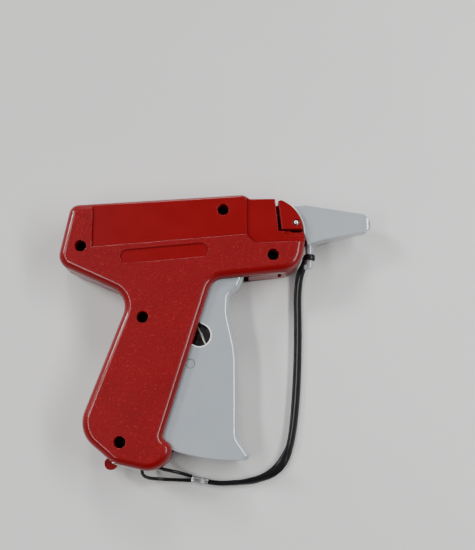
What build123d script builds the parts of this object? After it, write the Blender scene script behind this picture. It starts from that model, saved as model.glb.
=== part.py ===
"""Garment tag attacher, lying on its left side.

X points to the needle, Y points from the handle up to the top of the tool, Z runs through its
thickness.  The outer face of the left half is at Z = 0, and the trigger turns about the Z axis.
Lengths are in millimetres.
"""

import math
import os

from build123d import *

os.makedirs("parts", exist_ok=True)

# --- driving sizes -------------------------------------------------------------------------

# The two sizes that most others hang on: how far down the trigger reaches from its pivot, and
# the arc of the nose.  The foot of the handle follows the one, the needle and its cap the other.
trigger_reach = 95.4
nose_arc_centre = (15.9, 13.5)
nose_arc_radius = 16.4
foot_y = -trigger_reach
nose_x = nose_arc_centre[0] + nose_arc_radius

# Body, seen from the side: corner points with their radii, clockwise from the nose.
body_corners = [
    ((nose_x + 4.5, 29.6), 6.0),  # nose, cut off later by the front arc
    ((6.5, 29.6), 1.5),  # foot of the small step in the top edge
    ((4.0, 31.6), 4.5),  # head of that step
    ((-80.0, 26.3), 5.0),  # rear top corner
    ((-86.0, -2.4), 7.0),  # tail
    ((-50.4, -18.2), 10.0),  # web of the hand
    ((-74.4, foot_y + 13.4), 14.0),  # heel of the handle
    ((-56.6, foot_y - 1.4), 12.0),
    ((-32.2, foot_y - 6.9), 11.4),  # toe of the handle
    ((-29.2, foot_y + 7.0), 4.2),  # lip under the trigger
    ((-34.4, foot_y + 10.2), 3.0),
    ((-11.2, -10.3), 7.0),  # crook in front of the handle
    ((nose_x - 1.3, -5.7), 12.0),  # chin
]
body_thickness = 24.0
side_wall = 2.4
rim_wall = 2.5
edge_round = 4.0

# Front of the nose and the feed channel.
chin_reach = 1.4
chin_top_y = 8.5
channel_width = 1.5
channel_top_x = 18.9
channel_foot_x = 20.5
channel_depth_z = 8.0
slit_y = 13.5
slit_width = 0.7
nose_block_top = 18.7
ledge_top = 21.0
ledge_start_x = 23.5
ledge_foot_y = 11.4

# Panels let into the sides.
top_panel_depth = 1.0
top_panel_rear_x = -69.0
top_panel_rear_y = 5.2
top_panel_front_y = 11.6
front_panel_depth = 2.2
front_panel_x = 5.2
front_panel_knee = (6.2, 10.0)
front_panel_foot = (8.9, 7.4)
front_panel_front_y = 8.9
front_panel_rise = 0.02
side_recess_length = 42.0
side_recess_height = 6.5
side_recess_depth = 0.6
side_recess_centre = (-34.3, 2.1)
side_recess_tilt = 5.3

# Screws.
screw_places = [(-6.2, 23.7), (17.8, 1.4), (-74.4, 5.7), (-44.2, -28.7), (-53.8, foot_y + 8.4)]
screw_boss_radius = 3.6
screw_head_radius = 2.6
screw_head_height = 2.2
screw_shank_radius = 1.5
screw_length = 11.0
screw_seat_z = 15.0

# Clearances.
running_clearance = 0.3
pin_clearance = 0.1

# Trigger.
trigger_width = 15.0
trigger_wall = 2.2
trigger_cheek = 2.0
trigger_pull_angle = 20.0
trigger_pin_radius = 2.0
trigger_hub_radius = 5.2
mouth_clearance = 0.6
mouth_front_x = 5.9
mouth_rear_x = -45.0
mouth_head = (-16.0, -8.0)
trigger_toe_turn = 3.2
trigger_tail_turn = 23.5
toe_spur_x = 7.0
front_face_x = 1.0
finger_side_x = -9.0
finger_side_y = -12.0
trigger_round = 3.0
mark_place = (-21.6, -50.3)
mark_radius = 2.2
mark_depth = 0.25

# Drive lever, pinned behind the trigger.
lever_pivot = (-29.4, -28.1)
lever_thickness = 2.0
lever_half_width = 4.6
lever_hub_radius = 5.5
lever_web_lean = 12.0
fork_depth = 2.4
fork_clearance = 0.8
lever_post_radius = 4.3
lever_post_slot = 5.3
post_way_spare = 0.9
lever_pin_radius = 1.5
drive_pin_radius = 2.0
drive_pin_reach = 62.0
drive_pin_angle = 22.0
drive_pin_inset = 0.8
slot_clearance = 0.5

# Slider, push rod and needle on one line.
needle_y = 17.0
slider_height = 5.2
slider_length = 19.6
slider_width = 10.0
slider_bridge = 3.0
cross_pin_radius = 1.5
push_rod_radius = 0.8
push_rod_reach = 18.0
guide_rib = 1.2
needle_outer_radius = 1.5
needle_bore_radius = 1.0
needle_slot = 0.7
needle_start_x = 23.6
needle_tip_x = nose_x + 23.7
needle_point = 5.0
base_start_x = 23.0
base_length = nose_x - 1.3 - base_start_x
base_height = 5.0
base_foot_z = 8.0
base_top_z = 15.6
hub_radius = 3.0
hub_chamfer = 0.5
hub_end_x = nose_x + 5.7

# Lock lever over the needle base.  Its pin stands a little inside the arc of the nose.
lock_pin_inset = 2.67
lock_pin_bearing = 17.4
lock_plate_foot = 18.9
lock_plate_top = 22.0
lock_pin_radius = 1.4
lock_foot_place = (23.9, 16.4)
lock_foot_radius = 1.3
lock_foot_end_z = 15.0
lock_turn = 55.0
lock_crown_bearing = 69.0
lock_crown_step = 0.6
lock_corner_round = 0.7
lock_pin_dome = 0.25

# Feed wheel, pawl and blade.
wheel_centre = (15.6, 22.2)
wheel_tip_radius = 4.5
wheel_root_radius = 3.2
wheel_teeth = 8
tooth_foot_width = 1.3
tooth_tip_width = 0.4
wheel_foot_z = 13.4
wheel_thickness = 3.0
wheel_axle_radius = 1.0
pawl_pivot = (4.6, 24.0)
pawl_width = 2.0
pawl_thickness = 2.4
pawl_tip = (10.6, 23.2)
pawl_tip_width = 0.4
pawl_spring_thickness = 0.4
pawl_spring_root_x = 8.4
pawl_spring_reach = 3.0
pawl_spring_bend = 1.2
blade_thickness = 0.6
blade_edge = 0.54
blade_height = 4.5
blade_depth = 5.0

# Return spring.
spring_wire = 2.0
spring_coil_centre = (-37.7, -6.0)
spring_coil_radius = 4.7
spring_turns = 3
spring_pitch = 2.1
spring_leg_bearing = 25.46
spring_leg_inset = 0.05
spring_foot_z = 14.4
spring_post_radius = 3.2
spring_leg_end = (-2.6, -62.8)
spring_rest_leg = 9.0

# Needle cap with its peg.
cap_mouth_gap = 0.5
cap_half_width = 6.5
cap_shoulder_x = 9.0
cap_cradle_gap = 1.0
cap_slope_end = 2.4
cap_slope_half_width = 2.9
cap_tip_half_width = 1.8
cap_wall = 1.5
cap_tip_wall = 0.9
cap_grip_length = 3.0
cap_peg_x = nose_x + 3.5
cap_peg_radius = 1.8
cap_peg_foot_y = -3.6
cap_peg_foot_height = 2.0
cap_peg_foot_reach = 0.9
cap_corners = [
    ((nose_x - 6.3, 26.9), 0.0),
    ((nose_x + 0.7, 27.1), 9.0),
    ((nose_x + 30.7, 23.4), 0.4),
    ((nose_x + 33.7, 20.3), 0.4),
    ((nose_x + 33.7, 16.6), 0.4),
    ((nose_x + 31.1, 14.2), 0.4),
    ((nose_x + 9.7, 9.8), 6.0),
    ((nose_x + 2.7, 7.4), 3.0),
    ((nose_x - 1.3, 7.4), 0.0),
]

# Strap, crimp, loop and the bar that the loop hangs on.
strap_diameter = 3.2
strap_points = [
    (cap_peg_x - 1.7, 1.9, 8.5),
    (cap_peg_x - 2.6, -1.1, 5.0),
    (cap_peg_x - 4.2, -5.4, 2.6),
    (cap_peg_x - 5.4, -15.0, 1.7),
    (cap_peg_x - 5.2, -30.0, 1.7),
    (30.2, -48.0, 1.7),
    (29.2, -66.0, 1.7),
    (27.4, foot_y + 12.0, 1.7),
    (24.6, foot_y + 2.0, 1.7),
    (18.6, foot_y - 5.9, 1.7),
    (8.4, foot_y - 9.8, 1.7),
    (-2.0, foot_y - 10.7, 1.7),
    (-9.0, foot_y - 10.9, 1.7),
    (-13.4, foot_y - 10.1, 1.7),
]
ring_radius = 2.9
ring_height = 2.9
ring_y = 2.0
crimp_length = 8.0
crimp_width = 4.2
crimp_height = 3.2
crimp_corner = 1.2
loop_diameter = 1.6
loop_points = [
    (-21.2, foot_y - 7.6, 1.9),
    (-26.0, foot_y - 6.1, 2.8),
    (-31.4, foot_y - 4.8, 5.2),
    (-35.4, foot_y - 4.0, 8.4),
    (-39.0, foot_y - 1.2, 10.6),
    (-42.0, foot_y - 1.4, 13.6),
    (-44.2, foot_y - 4.0, 14.2),
    (-44.0, foot_y - 6.9, 11.4),
    (-41.6, foot_y - 8.3, 7.2),
    (-37.0, foot_y - 8.8, 3.6),
    (-31.0, foot_y - 9.2, 2.1),
    (-21.45, foot_y - 9.5, 1.7),
]
bar_radius = 0.8
bar_start = (-58.6, foot_y - 0.8)
bar_knee = (-43.4, foot_y - 4.1)
bar_end = (-33.6, foot_y - 1.0)
bar_bend = 3.0
bar_eye_centre = (-59.2, foot_y - 1.5)
bar_eye_radius = 3.0
notch_rear_x = -46.6
notch_front_x = -34.0
notch_roof_y = foot_y + 1.2
notch_width = 8.6

# --- values that follow --------------------------------------------------------------------

parting = body_thickness / 2
trigger_foot_z = parting - trigger_width / 2
lever_foot_z = parting - lever_thickness / 2
far_out = 200.0


def turned(point, centre, degrees):
    """The point turned about the centre, anticlockwise seen from +Z."""
    turn = math.radians(degrees)
    across = point[0] - centre[0]
    up = point[1] - centre[1]
    return (
        centre[0] + across * math.cos(turn) - up * math.sin(turn),
        centre[1] + across * math.sin(turn) + up * math.cos(turn),
    )


def bearing(point, centre):
    """Angle in degrees from straight down, positive to the rear."""
    return math.degrees(math.atan2(centre[0] - point[0], centre[1] - point[1]))


def on_nose(inset, degrees):
    """The point that far inside the arc of the nose, at that angle above its centre."""
    straight = (nose_arc_centre[0] + nose_arc_radius - inset, nose_arc_centre[1])
    return turned(straight, nose_arc_centre, degrees)


# The lock lever's pivot, the front end of its lower edge, and the circle that this end sweeps.
lock_pivot = on_nose(lock_pin_inset, lock_pin_bearing)
lock_foot_y = slit_y + slit_width
lock_front_foot = (
    nose_arc_centre[0] + math.sqrt(nose_arc_radius**2 - (lock_foot_y - nose_arc_centre[1]) ** 2),
    lock_foot_y,
)
lock_sweep = math.dist(lock_pivot, lock_front_foot) + running_clearance

# Trigger drive pin at rest and pulled, and how far it swings the lever.
pivot = (0.0, 0.0)
drive_pin_rest = turned((0.0, -drive_pin_reach), pivot, -drive_pin_angle)
drive_pin_pulled = turned(drive_pin_rest, pivot, -trigger_pull_angle)
lever_swing = bearing(drive_pin_pulled, lever_pivot) - bearing(drive_pin_rest, lever_pivot)
lever_rise = needle_y - lever_pivot[1]
slider_stroke = 2 * lever_rise * math.tan(math.radians(lever_swing / 2))
slider_rest_x = lever_pivot[0] - slider_stroke / 2
print("lever swing", round(lever_swing, 3), "slider stroke", round(slider_stroke, 3))
print("lever ratio", round(lever_swing / trigger_pull_angle, 5))
print("slider ratio m/rad", round(slider_stroke / 1000 / math.radians(trigger_pull_angle), 6))

# --- profiles shared by both halves ----------------------------------------------------------

with BuildSketch() as body_profile:
    with BuildLine():
        FilletPolyline(*[c[0] for c in body_corners], radius=[c[1] for c in body_corners], close=True)
    make_face()

with BuildSketch() as inside_profile:
    add(body_profile.sketch)
    offset(amount=-rim_wall)

# The cavity stops short of the solid nose, and is shallower under the front panel.
cavity_front_x = front_panel_x - rim_wall
cavity_end_x = channel_top_x - rim_wall + channel_width
with BuildSketch() as deep_cavity:
    add(inside_profile.sketch)
    with Locations((cavity_front_x, 0)):
        Rectangle(far_out, far_out * 2, align=(Align.MIN, Align.CENTER), mode=Mode.SUBTRACT)

with BuildSketch() as shallow_cavity:
    add(inside_profile.sketch)
    with Locations((cavity_end_x, 0)):
        Rectangle(far_out, far_out * 2, align=(Align.MIN, Align.CENTER), mode=Mode.SUBTRACT)

# Everything in front of the arc, with its foot just above the chin.
with BuildSketch() as nose_waste:
    Rectangle(far_out * 2, far_out * 2, align=(Align.MIN, Align.CENTER))
    with Locations(nose_arc_centre):
        Circle(nose_arc_radius, mode=Mode.SUBTRACT)
    with BuildLine():
        Polyline(
            (-1, -far_out),
            (nose_x + chin_reach, -far_out),
            (nose_x + chin_reach, chin_top_y),
            (nose_x, nose_arc_centre[1]),
            (nose_arc_centre[0], nose_arc_centre[1]),
            (nose_arc_centre[0], far_out),
            (-1, far_out),
            close=True,
        )
    make_face(mode=Mode.SUBTRACT)

# Where the right half makes room for the nose block: above the slit, in front of the channel.
with BuildSketch() as right_nose_waste:
    with BuildLine():
        Polyline(
            (channel_top_x, far_out),
            (channel_top_x, body_corners[1][0][1]),
            (channel_foot_x, slit_y),
            (far_out, slit_y),
            (far_out, far_out),
            close=True,
        )
    make_face()

# The nose block itself stands the width of the channel and of the slit away from that edge.
with BuildSketch() as nose_block_profile:
    add(body_profile.sketch)
    with BuildLine():
        Polyline(
            (channel_top_x + channel_width, far_out),
            (channel_top_x + channel_width, body_corners[1][0][1]),
            (channel_foot_x + channel_width, slit_y + slit_width),
            (far_out, slit_y + slit_width),
            (far_out, far_out),
            close=True,
        )
    make_face(mode=Mode.INTERSECT)

with BuildSketch() as channel_profile:
    with BuildLine():
        Polyline(
            (channel_top_x, far_out),
            (channel_top_x, body_corners[1][0][1]),
            (channel_foot_x, slit_y),
            (channel_foot_x, -far_out),
            (channel_foot_x + channel_width, -far_out),
            (channel_foot_x + channel_width, slit_y),
            (channel_top_x + channel_width, body_corners[1][0][1]),
            (channel_top_x + channel_width, far_out),
            close=True,
        )
    make_face()

with BuildSketch() as top_panel:
    with BuildLine():
        Polyline(
            (top_panel_rear_x, far_out),
            (top_panel_rear_x, top_panel_rear_y),
            (front_panel_x, top_panel_front_y),
            (front_panel_x, far_out),
            close=True,
        )
    make_face()

with BuildSketch() as front_panel:
    with BuildLine():
        Polyline(
            (front_panel_x - 0.6, far_out),
            (front_panel_x, top_panel_front_y),
            front_panel_knee,
            front_panel_foot,
            (far_out, front_panel_front_y + front_panel_rise * (far_out - front_panel_foot[0])),
            (far_out, far_out),
            close=True,
        )
    make_face()

# The mouth that the trigger moves in: all that its tip can reach, behind the front edge.
with BuildSketch() as mouth:
    Circle(trigger_reach + mouth_clearance)
    with BuildLine():
        Polyline(
            (mouth_front_x, 0),
            (mouth_front_x, -far_out),
            (mouth_rear_x, -far_out),
            (mouth_rear_x, foot_y + 15.4),
            mouth_head,
            close=True,
        )
    make_face(mode=Mode.INTERSECT)
    Circle(trigger_hub_radius + running_clearance)

with BuildSketch() as eye_notch:
    with BuildLine():
        Polyline(
            (notch_rear_x, notch_roof_y),
            (notch_rear_x, -far_out),
            (notch_front_x, -far_out),
            (notch_front_x, notch_roof_y),
            close=True,
        )
    make_face()

# The bar lies in a groove that is open from the bar outwards, and past its end in the eye.
with BuildSketch() as bar_groove:
    with BuildLine():
        Polyline(
            (bar_start[0] - 2 * bar_eye_radius, bar_start[1]),
            bar_start,
            bar_knee,
            bar_end,
            (bar_end[0], bar_end[1] - 10),
            (bar_start[0] - 2 * bar_eye_radius, bar_end[1] - 10),
            close=True,
        )
    make_face()

# Bar that the loop hangs on, bent where the loop pulls at it.
with BuildPart() as lanyard_bar:
    with BuildLine(Plane.XY.offset(parting)):
        bar_route = FilletPolyline(bar_start, bar_knee, bar_end, radius=bar_bend)
    with BuildSketch(Plane(origin=bar_route @ 0, z_dir=bar_route % 0)):
        Circle(bar_radius)
    sweep()
lanyard_bar.part.label = "lanyard_bar"
export_step(lanyard_bar.part, "parts/lanyard_bar.step")

# --- right half of the housing ---------------------------------------------------------------

cavity_depth = parting - side_wall
shallow_depth = cavity_depth - front_panel_depth
post_gap = lever_thickness / 2 + running_clearance
trigger_gap = trigger_width / 2 + running_clearance

with BuildPart() as right_housing:
    with BuildSketch(Plane.XY.offset(parting)):
        add(body_profile.sketch)
    extrude(amount=parting)
    fillet(right_housing.edges().group_by(Axis.Z)[-1], edge_round)
    # Panels and the bare recess in the outer face.
    with BuildSketch(Plane.XY.offset(body_thickness)):
        add(top_panel.sketch)
    extrude(amount=-top_panel_depth, mode=Mode.SUBTRACT)
    with BuildSketch(Plane.XY.offset(body_thickness)):
        add(front_panel.sketch)
    extrude(amount=-front_panel_depth, mode=Mode.SUBTRACT)
    with BuildSketch(Plane.XY.offset(body_thickness)):
        with Locations(side_recess_centre):
            SlotOverall(side_recess_length, side_recess_height, rotation=side_recess_tilt)
    extrude(amount=-side_recess_depth, mode=Mode.SUBTRACT)
    # Hollow.
    with BuildSketch(Plane.XY.offset(parting)):
        add(deep_cavity.sketch)
    extrude(amount=cavity_depth, mode=Mode.SUBTRACT)
    with BuildSketch(Plane.XY.offset(parting)):
        add(shallow_cavity.sketch)
    extrude(amount=shallow_depth, mode=Mode.SUBTRACT)
    # Screw bosses, trigger boss, lever post, spring post and slider guides.
    with BuildSketch(Plane.XY.offset(parting)):
        with Locations(*screw_places):
            Circle(screw_boss_radius)
    extrude(amount=cavity_depth)
    with BuildSketch(Plane.XY.offset(parting + trigger_gap)):
        Circle(trigger_hub_radius)
    extrude(amount=cavity_depth - trigger_gap)
    with BuildSketch(Plane.XY.offset(parting + post_gap)):
        with Locations(lever_pivot):
            Circle(lever_post_radius)
    extrude(amount=cavity_depth - post_gap)
    with BuildSketch(Plane.XY.offset(spring_foot_z - spring_wire / 2)):
        with Locations(spring_coil_centre):
            Circle(spring_post_radius)
    extrude(amount=body_thickness - side_wall - spring_foot_z + spring_wire / 2)
    with BuildSketch(Plane.XY.offset(parting + post_gap)):
        for side in (-1, 1):
            rib_y = needle_y + side * (slider_height / 2 + running_clearance + guide_rib / 2)
            with Locations((slider_rest_x - slider_length / 2, rib_y)):
                Rectangle(slider_length + slider_stroke, guide_rib, align=(Align.MIN, Align.CENTER))
    extrude(amount=cavity_depth - post_gap)
    # Trigger mouth, eye for the loop and groove for its bar.
    with BuildSketch(Plane.XY.offset(parting)):
        add(mouth.sketch)
    extrude(amount=trigger_gap, mode=Mode.SUBTRACT)
    with BuildSketch(Plane.XY.offset(parting)):
        add(eye_notch.sketch)
    extrude(amount=notch_width / 2, mode=Mode.SUBTRACT)
    with BuildSketch(Plane.XY.offset(parting)):
        add(bar_groove.sketch)
    extrude(amount=bar_radius, mode=Mode.SUBTRACT)
    add(lanyard_bar.part, mode=Mode.SUBTRACT)
    # Nose: room for the block, channel, ledge, sweep of the lock lever, rod bore, wheel pocket.
    with BuildSketch(Plane.XY.offset(parting)):
        add(nose_waste.sketch)
        add(right_nose_waste.sketch)
    extrude(amount=parting, mode=Mode.SUBTRACT)
    with BuildSketch(Plane.XY.offset(parting)):
        add(channel_profile.sketch)
    extrude(amount=parting - channel_depth_z, mode=Mode.SUBTRACT)
    with BuildSketch(Plane.XY.offset(ledge_top)):
        with Locations((ledge_start_x, ledge_foot_y)):
            Rectangle(far_out, slit_y - ledge_foot_y, align=(Align.MIN, Align.MIN))
    extrude(amount=parting, mode=Mode.SUBTRACT)
    with BuildSketch(Plane.XY.offset(nose_block_top)):
        with Locations(lock_pivot):
            Circle(lock_sweep)
    extrude(amount=parting, mode=Mode.SUBTRACT)
    with BuildSketch(Plane.YZ.offset(cavity_end_x - 1)):
        with Locations((needle_y, parting)):
            Circle(push_rod_radius + running_clearance)
    extrude(amount=channel_foot_x + channel_width - cavity_end_x, mode=Mode.SUBTRACT)
    with BuildSketch(Plane.XY.offset(wheel_foot_z - running_clearance)):
        with Locations(wheel_centre):
            Circle(wheel_tip_radius + running_clearance)
    extrude(amount=wheel_thickness + 2 * running_clearance, mode=Mode.SUBTRACT)
    # Bores: screws with their counterbores, trigger pin, lever pin, axles.
    with BuildSketch(Plane.XY.offset(parting)):
        with Locations(*screw_places):
            Circle(screw_shank_radius + pin_clearance)
    extrude(amount=parting, mode=Mode.SUBTRACT)
    with BuildSketch(Plane.XY.offset(screw_seat_z)):
        with Locations(*screw_places):
            Circle(screw_head_radius + pin_clearance)
    extrude(amount=parting, mode=Mode.SUBTRACT)
    with BuildSketch(Plane.XY.offset(parting)):
        Circle(trigger_pin_radius)
        with Locations(lever_pivot):
            Circle(lever_pin_radius)
    extrude(amount=parting - side_wall / 2, mode=Mode.SUBTRACT)
    with BuildSketch(Plane.XY.offset(parting)):
        with Locations(wheel_centre, pawl_pivot):
            Circle(wheel_axle_radius)
    extrude(amount=shallow_depth + side_wall / 2, mode=Mode.SUBTRACT)
right_housing.part.label = "right_housing"
export_step(right_housing.part, "parts/right_housing.step")

# --- left half of the housing -----------------------------------------------------------------

lock_arm = math.dist(lock_pivot, lock_foot_place)
lock_bearing = math.degrees(
    math.atan2(lock_foot_place[1] - lock_pivot[1], lock_foot_place[0] - lock_pivot[0])
)

foot_path = CenterArc(lock_pivot, lock_arm, lock_bearing, -lock_turn)
with BuildSketch() as foot_way:
    SlotArc(foot_path, (lock_foot_radius + running_clearance) * 2)

with BuildPart() as left_housing:
    with BuildSketch(Plane.XY):
        add(body_profile.sketch)
    extrude(amount=parting)
    fillet(left_housing.edges().group_by(Axis.Z)[0], edge_round)
    with BuildSketch(Plane.XY):
        add(top_panel.sketch)
    extrude(amount=top_panel_depth, mode=Mode.SUBTRACT)
    # Hollow.
    with BuildSketch(Plane.XY.offset(parting)):
        add(deep_cavity.sketch)
    extrude(amount=-cavity_depth, mode=Mode.SUBTRACT)
    with BuildSketch(Plane.XY.offset(parting)):
        add(shallow_cavity.sketch)
    extrude(amount=-shallow_depth, mode=Mode.SUBTRACT)
    # Screw bosses, trigger boss, lever post and slider guides.
    with BuildSketch(Plane.XY.offset(parting)):
        with Locations(*screw_places):
            Circle(screw_boss_radius)
    extrude(amount=-cavity_depth)
    with BuildSketch(Plane.XY.offset(parting - trigger_gap)):
        Circle(trigger_hub_radius)
    extrude(amount=trigger_gap - cavity_depth)
    with BuildSketch(Plane.XY.offset(parting - post_gap)):
        with Locations(lever_pivot):
            Circle(lever_post_radius)
    extrude(amount=post_gap - cavity_depth)
    with BuildSketch(Plane.XY.offset(parting - post_gap)):
        for side in (-1, 1):
            rib_y = needle_y + side * (slider_height / 2 + running_clearance + guide_rib / 2)
            with Locations((slider_rest_x - slider_length / 2, rib_y)):
                Rectangle(slider_length + slider_stroke, guide_rib, align=(Align.MIN, Align.CENTER))
    extrude(amount=post_gap - cavity_depth)
    # The eye that carries the bar stands beside the heel of the handle.
    with BuildSketch(Plane.XY.offset(parting)):
        with Locations(bar_eye_centre):
            Circle(bar_eye_radius)
    extrude(amount=-parting / 2)
    # Trigger mouth, eye for the loop and groove for its bar.
    with BuildSketch(Plane.XY.offset(parting)):
        add(mouth.sketch)
    extrude(amount=-trigger_gap, mode=Mode.SUBTRACT)
    with BuildSketch(Plane.XY.offset(parting)):
        add(eye_notch.sketch)
    extrude(amount=-notch_width / 2, mode=Mode.SUBTRACT)
    with BuildSketch(Plane.XY.offset(parting)):
        add(bar_groove.sketch)
    extrude(amount=-bar_radius, mode=Mode.SUBTRACT)
    add(lanyard_bar.part, mode=Mode.SUBTRACT)
    # Nose block, which stands up through the right half.
    with BuildSketch(Plane.XY.offset(parting)):
        add(nose_block_profile.sketch)
    extrude(amount=nose_block_top - parting)
    with BuildSketch(Plane.XY):
        add(nose_waste.sketch)
    extrude(amount=body_thickness, mode=Mode.SUBTRACT)
    with BuildSketch(Plane.XY.offset(channel_depth_z)):
        add(channel_profile.sketch)
    extrude(amount=parting, mode=Mode.SUBTRACT)
    # Tunnel for the needle base, the way of the filament, and the way of the lock foot.
    with BuildSketch(Plane.XY.offset(base_foot_z)):
        with Locations((base_start_x, needle_y)):
            Rectangle(
                base_length + running_clearance,
                base_height + 2 * pin_clearance,
                align=(Align.MIN, Align.CENTER),
            )
    extrude(amount=base_top_z - base_foot_z + pin_clearance, mode=Mode.SUBTRACT)
    with BuildSketch(Plane.YZ.offset(cavity_end_x - 1)):
        with Locations((needle_y, parting)):
            Circle(push_rod_radius + running_clearance)
    extrude(amount=channel_foot_x + channel_width - cavity_end_x, mode=Mode.SUBTRACT)
    with BuildSketch(Plane.YZ.offset(channel_foot_x)):
        with Locations((needle_y, parting)):
            Circle(needle_outer_radius + pin_clearance)
    extrude(amount=base_start_x - channel_foot_x, mode=Mode.SUBTRACT)
    with BuildSketch(Plane.YZ.offset(base_start_x)):
        with Locations((needle_y, parting)):
            Circle(hub_radius + pin_clearance)
    extrude(amount=far_out, mode=Mode.SUBTRACT)
    with BuildSketch(Plane.XY.offset(parting - needle_slot / 2)):
        with Locations((channel_foot_x, slit_y)):
            Rectangle(far_out, needle_y - slit_y, align=(Align.MIN, Align.MIN))
    extrude(amount=needle_slot, mode=Mode.SUBTRACT)
    with BuildSketch(Plane.XY.offset(lock_foot_end_z)):
        add(foot_way.sketch)
    extrude(amount=nose_block_top - lock_foot_end_z, mode=Mode.SUBTRACT)
    # Bores.
    with BuildSketch(Plane.XY.offset(parting)):
        with Locations(*screw_places):
            Circle(screw_shank_radius)
    extrude(amount=-(screw_length - (screw_seat_z - parting)), mode=Mode.SUBTRACT)
    with BuildSketch(Plane.XY.offset(parting)):
        Circle(trigger_pin_radius)
        with Locations(lever_pivot):
            Circle(lever_pin_radius)
    extrude(amount=side_wall / 2 - parting, mode=Mode.SUBTRACT)
    with BuildSketch(Plane.XY.offset(parting)):
        with Locations(wheel_centre, pawl_pivot):
            Circle(wheel_axle_radius)
    extrude(amount=-shallow_depth - side_wall / 2, mode=Mode.SUBTRACT)
    with BuildSketch(Plane.XY.offset(base_top_z)):
        with Locations(lock_pivot):
            Circle(lock_pin_radius)
    extrude(amount=nose_block_top - base_top_z, mode=Mode.SUBTRACT)
    with BuildSketch(Plane.YZ.offset(channel_foot_x + channel_width)):
        with Locations((slit_y, parting)):
            Rectangle(blade_height, blade_depth, align=(Align.MAX, Align.MAX))
    extrude(amount=blade_thickness, mode=Mode.SUBTRACT)
left_housing.part.label = "left_housing"
export_step(left_housing.part, "parts/left_housing.step")

# --- fasteners and pins in the housing -----------------------------------------------------------

with BuildPart() as housing_screws:
    with BuildSketch(Plane.XY.offset(screw_seat_z)):
        with Locations(*screw_places):
            Circle(screw_head_radius)
    extrude(amount=screw_head_height)
    with BuildSketch(Plane.XY.offset(screw_seat_z)):
        with Locations(*screw_places):
            Circle(screw_shank_radius)
    extrude(amount=-screw_length)
housing_screws.part.label = "housing_screws"
export_step(housing_screws.part, "parts/housing_screws.step")

with BuildPart() as trigger_pivot_pin:
    with BuildSketch(Plane.XY.offset(side_wall / 2)):
        Circle(trigger_pin_radius)
    extrude(amount=body_thickness - side_wall)
trigger_pivot_pin.part.label = "trigger_pivot_pin"
export_step(trigger_pivot_pin.part, "parts/trigger_pivot_pin.step")

with BuildPart() as lever_pivot_pin:
    with BuildSketch(Plane.XY.offset(side_wall / 2)):
        with Locations(lever_pivot):
            Circle(lever_pin_radius)
    extrude(amount=body_thickness - side_wall)
lever_pivot_pin.part.label = "lever_pivot_pin"
export_step(lever_pivot_pin.part, "parts/lever_pivot_pin.step")

axle_foot_z = parting - shallow_depth - side_wall / 2
axle_length = 2 * (shallow_depth + side_wall / 2)
with BuildPart() as feed_wheel_axle:
    with BuildSketch(Plane.XY.offset(axle_foot_z)):
        with Locations(wheel_centre):
            Circle(wheel_axle_radius)
    extrude(amount=axle_length)
feed_wheel_axle.part.label = "feed_wheel_axle"
export_step(feed_wheel_axle.part, "parts/feed_wheel_axle.step")

with BuildPart() as feed_pawl_pin:
    with BuildSketch(Plane.XY.offset(axle_foot_z)):
        with Locations(pawl_pivot):
            Circle(wheel_axle_radius)
    extrude(amount=axle_length)
feed_pawl_pin.part.label = "feed_pawl_pin"
export_step(feed_pawl_pin.part, "parts/feed_pawl_pin.step")

# --- trigger --------------------------------------------------------------------------------------

trigger_tail = turned((0.0, foot_y), pivot, -trigger_tail_turn)
trigger_middle = turned((0.0, foot_y), pivot, -trigger_tail_turn / 2)
trigger_toe = turned((0.0, foot_y), pivot, trigger_toe_turn)
with BuildSketch() as trigger_profile:
    with BuildLine():
        FilletPolyline(
            trigger_toe,
            (toe_spur_x, foot_y + 2.4),
            (front_face_x, foot_y + 10.6),
            (front_face_x, -45.0),
            (-3.2, -26.5),
            (-3.0, -17.8),
            (1.6, -13.6),
            (3.8, -8.6),
            (trigger_hub_radius, 0.0),
            (-trigger_hub_radius, 0.0),
            (-16.0, -14.0),
            (-29.4, -56.0),
            trigger_tail,
            radius=[1.6, 7.0, 60.0, 5.0, 4.0, 3.0, 4.0, 0.0, 0.0, 5.0, 30.0],
        )
        ThreePointArc(trigger_tail, trigger_middle, trigger_toe)
    make_face()
    Circle(trigger_hub_radius)

# Hollow behind the front wall, and open to the rear over the whole height.
with BuildSketch() as trigger_hollow:
    add(trigger_profile.sketch)
    offset(amount=-trigger_wall, kind=Kind.INTERSECTION)
with BuildSketch() as trigger_back:
    Circle(trigger_reach - trigger_wall)
    with BuildLine():
        Polyline(
            (-11.0, -6.0),
            (-12.0, -14.0),
            (-24.0, -56.0),
            (-33.0, foot_y + 7.4),
            (-60.0, foot_y + 7.4),
            (-60.0, -6.0),
            close=True,
        )
    make_face(mode=Mode.INTERSECT)

# The post stays put while the trigger turns past it, so its way leads forward from its place.
post_bearing = math.degrees(math.atan2(lever_pivot[1], lever_pivot[0]))
post_way_head = post_bearing + trigger_pull_angle + post_way_spare
post_path = CenterArc(pivot, math.dist(lever_pivot, pivot), post_way_head, -2 * trigger_pull_angle)
with BuildSketch() as post_way:
    SlotArc(post_path, lever_post_slot * 2)

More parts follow.
